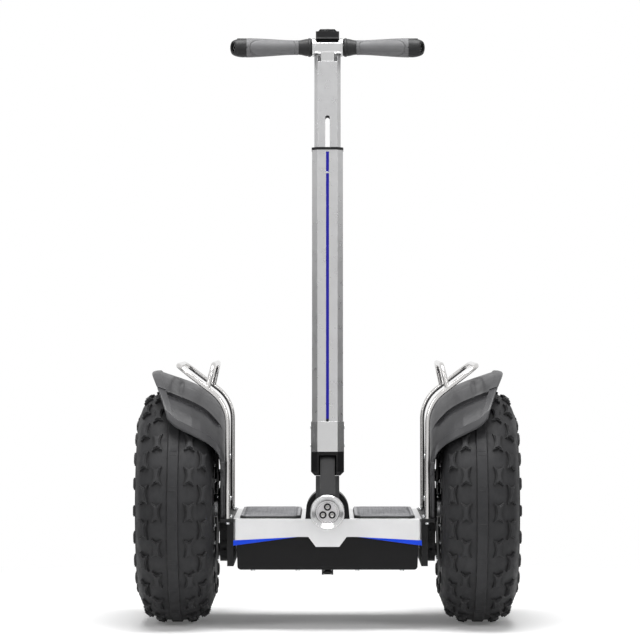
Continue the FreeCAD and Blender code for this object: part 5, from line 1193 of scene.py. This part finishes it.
@dataclass
class Grips:
    """Both moulded grips: a dark core with flared root and ringed end, and a soft insert."""

    straight: float = 40.0
    curve: float = 330.0
    seam: float = 5.0
    seam_half_width: float = 0.9
    seam_depth: float = 0.4
    skin_inside: float = 14.3
    stretch_start: float = 140.0
    stretch_length: float = 27.6
    stretch: float = 6.4
    core: Table = (
        # place along the arm and radius, from the bore at the root round to the end's recess
        (31.4, 12.0), (30.8, 15.6), (31.4, 16.6), (33.2, 17.9), (35.0, 18.8), (36.6, 19.0),
        (38.4, 18.6), (39.2, 17.6), (39.8, 17.2), (41.4, 17.4), (43.4, 17.2), (48.0, 16.2),
        (53.0, 15.0), (58.4, 14.4), (59.4, 14.0), (70.0, 14.0), (100.0, 15.6), (130.0, 17.6),
        (150.0, 18.4), (162.0, 18.7), (168.0, 18.9), (174.0, 19.2), (180.0, 18.6), (186.0, 17.4),
        (190.0, 16.2), (193.0, 14.9), (194.6, 13.8), (195.2, 12.8), (195.3, 12.0),
        (194.6, 11.5), (194.4, 10.9), (195.2, 10.5), (195.1, 9.9), (193.9, 9.5), (190.3, 9.5),
    )
    skin: Table = (
        (59.0, 13.6), (58.9, 14.5), (59.6, 14.95), (66.0, 14.8), (76.0, 14.9), (88.0, 15.4),
        (100.0, 16.2), (113.0, 17.1), (126.0, 17.9), (140.0, 18.7), (152.0, 19.2), (160.0, 19.35),
        (166.0, 19.35), (167.4, 19.1), (167.6, 18.4),
    )
    mark: Table = ((176.5, -3.4), (186.0, 0.0), (176.5, 3.4))
    mark_heights: tuple[float, float] = (17.2, 19.1)

    def bend(self, place: Vector) -> Vector:
        """Carry a point of the straight grip onto the arm's curve.

        Args:
            place: The point.

        Returns:
            The point on the curve.
        """
        angle = max(place.x - self.straight, 0.0) / self.curve
        along = min(place.x, self.straight) + self.curve * math.sin(angle)
        middle = Vector((along, self.curve * (math.cos(angle) - 1), 0))
        return middle + Matrix.Rotation(-angle, 3, "Z") @ Vector((0, place.y, place.z))

    def groove(self, place: Vector) -> Vector:
        """Sink the seam and stretch the insert's outer end forward and back.

        Args:
            place: A point of the insert.

        Returns:
            The point moved.
        """
        radius = math.hypot(place.y, place.z)
        if radius < self.skin_inside:
            return place
        around = math.atan2(place.z, -place.y)
        in_seam = abs(around - math.radians(self.seam)) * radius < self.seam_half_width
        share = max(0.0, (place.x - self.stretch_start) / self.stretch_length)
        reach = self.stretch * math.cos(around) ** 2 * share * share
        scale = (radius - (self.seam_depth if in_seam else 0.0)) / radius
        return Vector((place.x + reach, place.y * scale, place.z * scale))

    @staticmethod
    def put_on(work: Work, finish: Paint, *replaced: str) -> None:
        """Copy a bent piece to both sides and finish it."""
        work.copies([HEAD @ side.flip for side in Side])
        work.recalculate().smooth().finish("handlebar_post", finish, *replaced)

    def build(self) -> None:
        """Build core, insert and end marks."""
        core = Work.lathe("moulded_grips", self.core, Axis.X, 72, closed=False)
        self.put_on(core.reshape(self.bend), GRIP, "grips")
        skin = Work.lathe("soft_grip_inserts", self.skin, Axis.X, 72).reshape(self.groove)
        self.put_on(skin.reshape(self.bend), GRIP_INSERT, "grip_inserts")
        mark = Work.slab("grip_end_marks", self.mark, *self.mark_heights).recalculate()
        self.put_on(mark.bevel(0.4).reshape(self.bend), BLACK_RUBBER)


@dataclass(frozen=True)
class Block:
    """A small bevelled block of trim on the column or the handlebar."""

    name: str
    low: Triple
    high: Triple
    origin: Matrix
    body: str
    finish: Paint
    shape: Callable[[Work], Work] = lambda work: work

    def build(self) -> None:
        """Build the block."""
        work = self.shape(Work.block(self.name, self.low, self.high))
        work.bevel(0.3).place(self.origin).smooth().finish(self.body, self.finish)


def taper(work: Work) -> Work:
    """Draw the upper end of the light strip's cap in."""
    return work.reshape(lambda v: Vector((v.x * (0.62 if v.z > 182 else 1.0), v.y, v.z)))


BLOCKS = (
    Block("display_window", (-11, -13.6, 34.6), (11, -4.6, 35.5), HEAD, "handlebar_post", SCREEN,
          lambda work: work.inset(0.8, upward, -0.25)),
    # Painted shade: a thin black strip across the foot of the display's front stands for the shade
    # there.
    Block("display_gasket", (-23.2, -21.6, 18.0), (23.2, -20.6, 21.2), HEAD, "handlebar_post",
          BLACK_RUBBER),
    Block("strip_end_cap", (-3.6, -28.7, 178.9), (3.6, -26.8, 184.4), COLUMN, "column",
          BLACK_PLASTIC, taper),
    Block("strip_break", (-3.0, -28.2, 676), (3.0, -26.8, 679), COLUMN, "column", STEEL),
)


# Headlight


@dataclass
class Headlight:
    """Three lamp modules in the reflector disc: black cup, bright cone and diode."""

    disc_front: float = -218.0
    circle: float = 10.5
    angles: tuple[float, ...] = (90.0, 210.0, 330.0)
    # radius and height over the disc
    cup: Table = ((7.2, -0.8), (7.2, 1.6), (6.8, 2.3), (6.0, 2.5), (4.8, 2.2), (4.2, 1.4),
                  (4.2, -0.8))
    cone: Table = ((4.1, 1.2), (3.8, 1.2), (2.9, 0.2), (1.9, -0.3), (1.9, -0.7), (4.1, -0.7))
    diode: Table = ((0.0, -0.6), (1.8, -0.6), (1.8, 0.1), (1.3, 0.5), (0.6, 0.8), (0.0, 0.9))
    ring: Table = ((19.2, -0.2), (19.2, 0.5), (19.6, 0.9), (20.2, 0.9), (20.6, 0.5), (20.6, -0.2))

    @property
    def origin(self) -> Matrix:
        """The middle of the disc's face, with Z forward."""
        return shift(0, self.disc_front, AXLE_HEIGHT) @ turn(90, "X")

    def modules(self, name: str, profile: Table, finish: Paint, *replaced: str) -> None:
        """Turn one piece of a lamp module and copy it to all modules.

        Args:
            name: The name of the group.
            profile: Radius and height over the disc.
            finish: Its finish.
            replaced: CAD nodes that it stands for.
        """
        spots = [(self.circle * math.cos(angle), self.circle * math.sin(angle))
                 for angle in map(math.radians, self.angles)]
        work = Work.lathe(name, profile, Axis.Z, 40)
        work.copies(self.origin @ shift(*spot, 0) for spot in spots)
        work.recalculate().smooth(35).finish("column", finish, *replaced)

    def build(self) -> None:
        """Build cups, cones, diodes and the disc's ring."""
        self.modules("lamp_cups", self.cup, BLACK_PLASTIC, "headlight_lenses")
        self.modules("lamp_cones", self.cone, DISC)
        self.modules("lamp_diodes", self.diode, DIODE)
        ring = Work.lathe("reflector_rings", self.ring, Axis.Z, 72).place(self.origin)
        ring.smooth(35).finish("column", POLISHED)


# Deck


@dataclass
class Mat:
    """Foot mat: black rubber base, grey pad with a border and a field of raised lozenges."""

    side: Side
    inner: float = 54.0
    outer: float = 176.0
    front: float = -155.0
    back: float = 130.0
    cut: float = 12.0
    cut_share: float = 0.4
    base_heights: tuple[float, float] = (219.4, 229.2)
    pad_heights: tuple[float, float] = (229.0, 231.2)
    pad_inset: float = 1.2
    border: float = 5.0
    panel_half: float = 20.0
    panel_depth: float = 0.9
    lozenge: Table = ((6.4, 0.0), (0.0, 3.4), (-6.4, 0.0), (0.0, -3.4))
    lozenge_heights: tuple[float, float] = (230.0, 231.5)
    lozenge_start: tuple[float, float] = (13.0, 18.5)
    lozenge_pitch: tuple[float, float] = (16.0, 10.3)
    lozenge_rows: int = 25
    lozenges_in_row: int = 7

    def slab(self, name: str, inset: float, heights: tuple[float, float]) -> Work:
        """Model a slab with the mat's outline.

        Args:
            name: The piece's name.
            inset: How far the outline is drawn in.
            heights: Where its underside and its top lie.

        Returns:
            The slab.
        """
        low, high = self.inner + inset, self.outer - inset
        front, back = self.front + inset, self.back - inset
        cut = self.cut - inset * self.cut_share
        outline = [
            (low + cut, front), (high - cut, front), (high, front + cut), (high, back - cut),
            (high - cut, back), (low + cut, back), (low, back - cut), (low, front + cut),
        ]
        return Work.slab(name, outline, *heights).recalculate()

    def lozenges(self) -> Work:
        """Model a raised lozenge and copy it in staggered rows.

        Returns:
            All lozenges.
        """
        work = Work.slab("lozenge", self.lozenge, *self.lozenge_heights).recalculate().bevel(0.45)
        (x_start, y_start), (x_step, y_step) = self.lozenge_start, self.lozenge_pitch
        return work.copies(
            shift(self.inner + x_start + (column + row % 2 / 2) * x_step,
                  self.front + y_start + row * y_step, 0)
            for row in range(self.lozenge_rows)
            for column in range(self.lozenges_in_row - row % 2)
        )

    def build(self) -> None:
        """Build base and pad in place of the CAD mat."""
        word, flip = self.side.word, [self.side.flip]
        base = self.slab(f"mat_base_{word}", 0.0, self.base_heights).bevel(0.8).copies(flip)
        base.smooth().finish(f"{word}_mat", BLACK_RUBBER, f"foot_mat_{word}")
        pad = self.slab(f"mat_pad_{word}", self.pad_inset, self.pad_heights)
        pad.inset(self.border, upward)
        pad.extrude((0, 0, -self.panel_depth), upward_near(
            self.panel_half, (self.inner + self.outer) / 2, (self.front + self.back) / 2
        ))
        pad.bevel(0.5).join(self.lozenges()).copies(flip).smooth().finish(f"{word}_mat", MAT)


# Screws


@dataclass(frozen=True)
class Screw:
    """A screw head with a socket in its top, copied in groups."""

    radius: float
    height: float
    wall: float
    socket: float
    soft: float
    sides: int = 32

    def spread(self, name: str, body: str, spots: Iterable[Matrix]) -> None:
        """Build a group of screws.

        Args:
            name: The name of the group.
            body: The body it rides on.
            spots: Where the screws stand.
        """
        work = Work.cylinder(name, self.radius, self.height, self.sides)
        work.inset(self.wall, upward).extrude((0, 0, -self.socket), upward_near(1.0))
        work.bevel(self.soft, 3, 50).copies(spots).smooth().finish(body, BRIGHT_BOLT)


@dataclass
class Screws:
    """All screws that the CAD leaves out."""

    button: Screw = Screw(5.5, 2.6, 3.0, 1.8, 0.7)
    collar: Screw = Screw(3.4, 1.6, 1.6, 1.1, 0.4, 28)
    cap: Screw = Screw(4.2, 3.4, 1.89, 2.04, 0.5)
    fender_spots: Table = ((-140, 6), (-92, 6), (92, 6), (140, 6), (-120, 96), (120, 96))
    collar_spots: Table = ((-8, 132), (-8, 168), (8, 132), (8, 168))
    gearbox_spots: Table = (
        (0.0, 287.5), (-30.0, 262.0), (30.0, 262.0), (-28.0, 132.5), (28.0, 132.5),
    )
    gearbox_scale: float = 0.85

    def build(self) -> None:
        """Place all groups."""
        outward, inward = turn(90, "Y"), turn(-90, "Y")
        self.collar.spread("collar_screws", "column", (
            COLUMN @ side.flip @ shift(33.0, y, z) @ outward
            for side in Side for y, z in self.collar_spots
        ))
        for side in Side:
            self.button.spread(f"fender_screws_{side.word}", "chassis", (
                side.flip @ shift(Fender.inner, y, AXLE_HEIGHT + z) @ inward
                for y, z in self.fender_spots
            ))
            self.cap.spread(f"gearbox_screws_{side.word}", "chassis", (
                side.flip @ shift(224.4, y, z) @ outward @ Matrix.Scale(self.gearbox_scale, 4)
                for y, z in self.gearbox_spots
            ))
            self.cap.spread(f"bracket_screws_{side.word}", "chassis", (
                side.flip @ shift(195.0, y, 225.0) for y in (-140, -100, 100, 140)
            ))
        self.cap.spread("deck_back_screws", "chassis", (
            shift(x, 150.0, 205.0) @ turn(-90, "X") for x in (-172, -60, 60, 172)
        ))
        self.cap.spread("tub_screws", "chassis", (
            shift(x, y, 122.2) @ turn(180, "X")
            for x in (-150, -60, 60, 150) for y in (-140, 0, 120)
        ))


# Stage, in metres


@dataclass
class Stage:
    """Pale floor, white surroundings, soft lamps and the camera of the photograph."""

    camera_distance: float = 6.0
    camera_height: float = 0.624
    pixels_per_slope: float = 2907.0
    picture_width: float = 640.0
    middle_pixel: float = 327.5
    world_light: float = 0.42
    floor_size: float = 80.0
    shadow_reach: tuple[float, float] = (0.5, 1.5)
    near_glow: float = 0.10

    def floor(self) -> None:
        """A wide floor that is white to the camera and keeps the object's shadow."""
        Work.clear()
        bpy.ops.mesh.primitive_plane_add(size=self.floor_size)
        floor = bpy.context.object
        floor.name = "studio_floor"
        tree = Tree(bpy.data.materials.new("pale_floor"))
        place = tree.object_place()
        colour = tree.blend(tree.cloud(place, 800, 3.0), grey(0.95), grey(0.97))
        reach = tree.add("VectorMath", place, settings={"operation": "LENGTH"}).outputs["Value"]
        share = tree.product(tree.seen(), tree.ranged(reach, *self.shadow_reach, self.near_glow))
        matt = tree.add("BsdfDiffuse", Color=colour)
        glow = tree.add("Emission", Color=grey(1.0), Strength=1.0)
        mix = tree.add("MixShader", share, matt.outputs[0], glow.outputs[0])
        floor.data.materials.append(tree.finish(mix))

    def world(self) -> None:
        """White to the camera, a plain even light on the object."""
        tree = Tree(bpy.data.worlds.new("studio"))
        soft = tree.add("Background", Color=grey(0.8), Strength=self.world_light)
        white = tree.add("Background", Color=grey(1.0), Strength=1.0)
        mix = tree.add("MixShader", tree.seen(), soft.outputs[0], white.outputs[0])
        bpy.context.scene.world = tree.finish(mix, "OutputWorld")

    @staticmethod
    def lamp(name: str, place: Point, aim: Point, size: tuple[float, float], power: float) -> None:
        """Add a large soft lamp.

        Args:
            name: The lamp's name.
            place: Where it hangs.
            aim: The place that it points at.
            size: Its width and height.
            power: Its power in watts.
        """
        data = bpy.data.lights.new(name, "AREA")
        data.shape = "RECTANGLE"
        data.size, data.size_y = size
        data.energy = power
        lamp = bpy.data.objects.new(name, data)
        lamp.location = place
        lamp.rotation_euler = (Vector(aim) - Vector(place)).to_track_quat("-Z", "Y").to_euler()
        bpy.context.scene.collection.objects.link(lamp)

    @staticmethod
    def flag(name: str, place: Point, size: tuple[float, float], angle: float) -> None:
        """Add an upright grey card that is seen in reflections alone.

        Args:
            name: The card's name.
            place: Its middle.
            size: Its width and height.
            angle: How far it is turned about the vertical.
        """
        Work.clear()
        bpy.ops.mesh.primitive_plane_add(
            size=1, location=place, rotation=(math.pi / 2, 0, math.radians(angle))
        )
        bpy.context.object.scale = (*size, 1)
        card = Work(name).piece
        tree = Tree(bpy.data.materials.new(f"{name}_grey"))
        card.data.materials.append(tree.finish(tree.add("BsdfDiffuse", Color=grey(0.20))))
        card.visible_camera = card.visible_diffuse = card.visible_shadow = False

    def lamps(self) -> None:
        """A broad lamp above, and each side a lamp in front and two cards for contrast."""
        self.lamp("overhead_lamp", (0, -0.5, 3.2), (0, 0, 0.4), (2.2, 1.6), 120)
        for word, way in (("left", -1), ("right", 1)):
            self.lamp(f"{word}_lamp", (2.6 * way, -2.9, 2.1), (0, 0, 0.5), (0.8, 2.0), 40)
            self.flag(f"{word}_flag", (1.5 * way, -1.4, 0.7), (0.5, 2.4), 50 * way)
            self.flag(f"far_{word}_flag", (2.2 * way, 0.0, 0.4), (1.5, 1.1), 90 * way)

    def camera(self) -> None:
        """The level camera at the photograph's distance and height."""
        data = bpy.data.cameras.new("photo_camera")
        data.lens = self.pixels_per_slope / self.picture_width * data.sensor_width
        data.shift_x = -(self.middle_pixel - self.picture_width / 2) / self.picture_width
        data.clip_end = 2 * self.floor_size
        camera = bpy.data.objects.new("photo_camera", data)
        camera.location = (0, -self.camera_distance, self.camera_height)
        camera.rotation_euler = (math.pi / 2, 0, 0)
        bpy.context.scene.collection.objects.link(camera)
        bpy.context.scene.camera = camera

    def build(self) -> None:
        """Set the whole stage."""
        self.floor()
        self.world()
        self.lamps()
        self.camera()
        bpy.context.scene.view_settings.view_transform = "Standard"
        log.info("stage set")


def main() -> None:
    """Build every piece in order."""
    PAINTBOX.dress_nodes()
    for side in Side:
        for piece in (Tyre(side), Fender(side), Mat(side)):
            piece.build()
    for piece in (Grips(), *BLOCKS, Headlight(), Screws(), Stage()):
        piece.build()


if __name__ == "__main__":
    main()
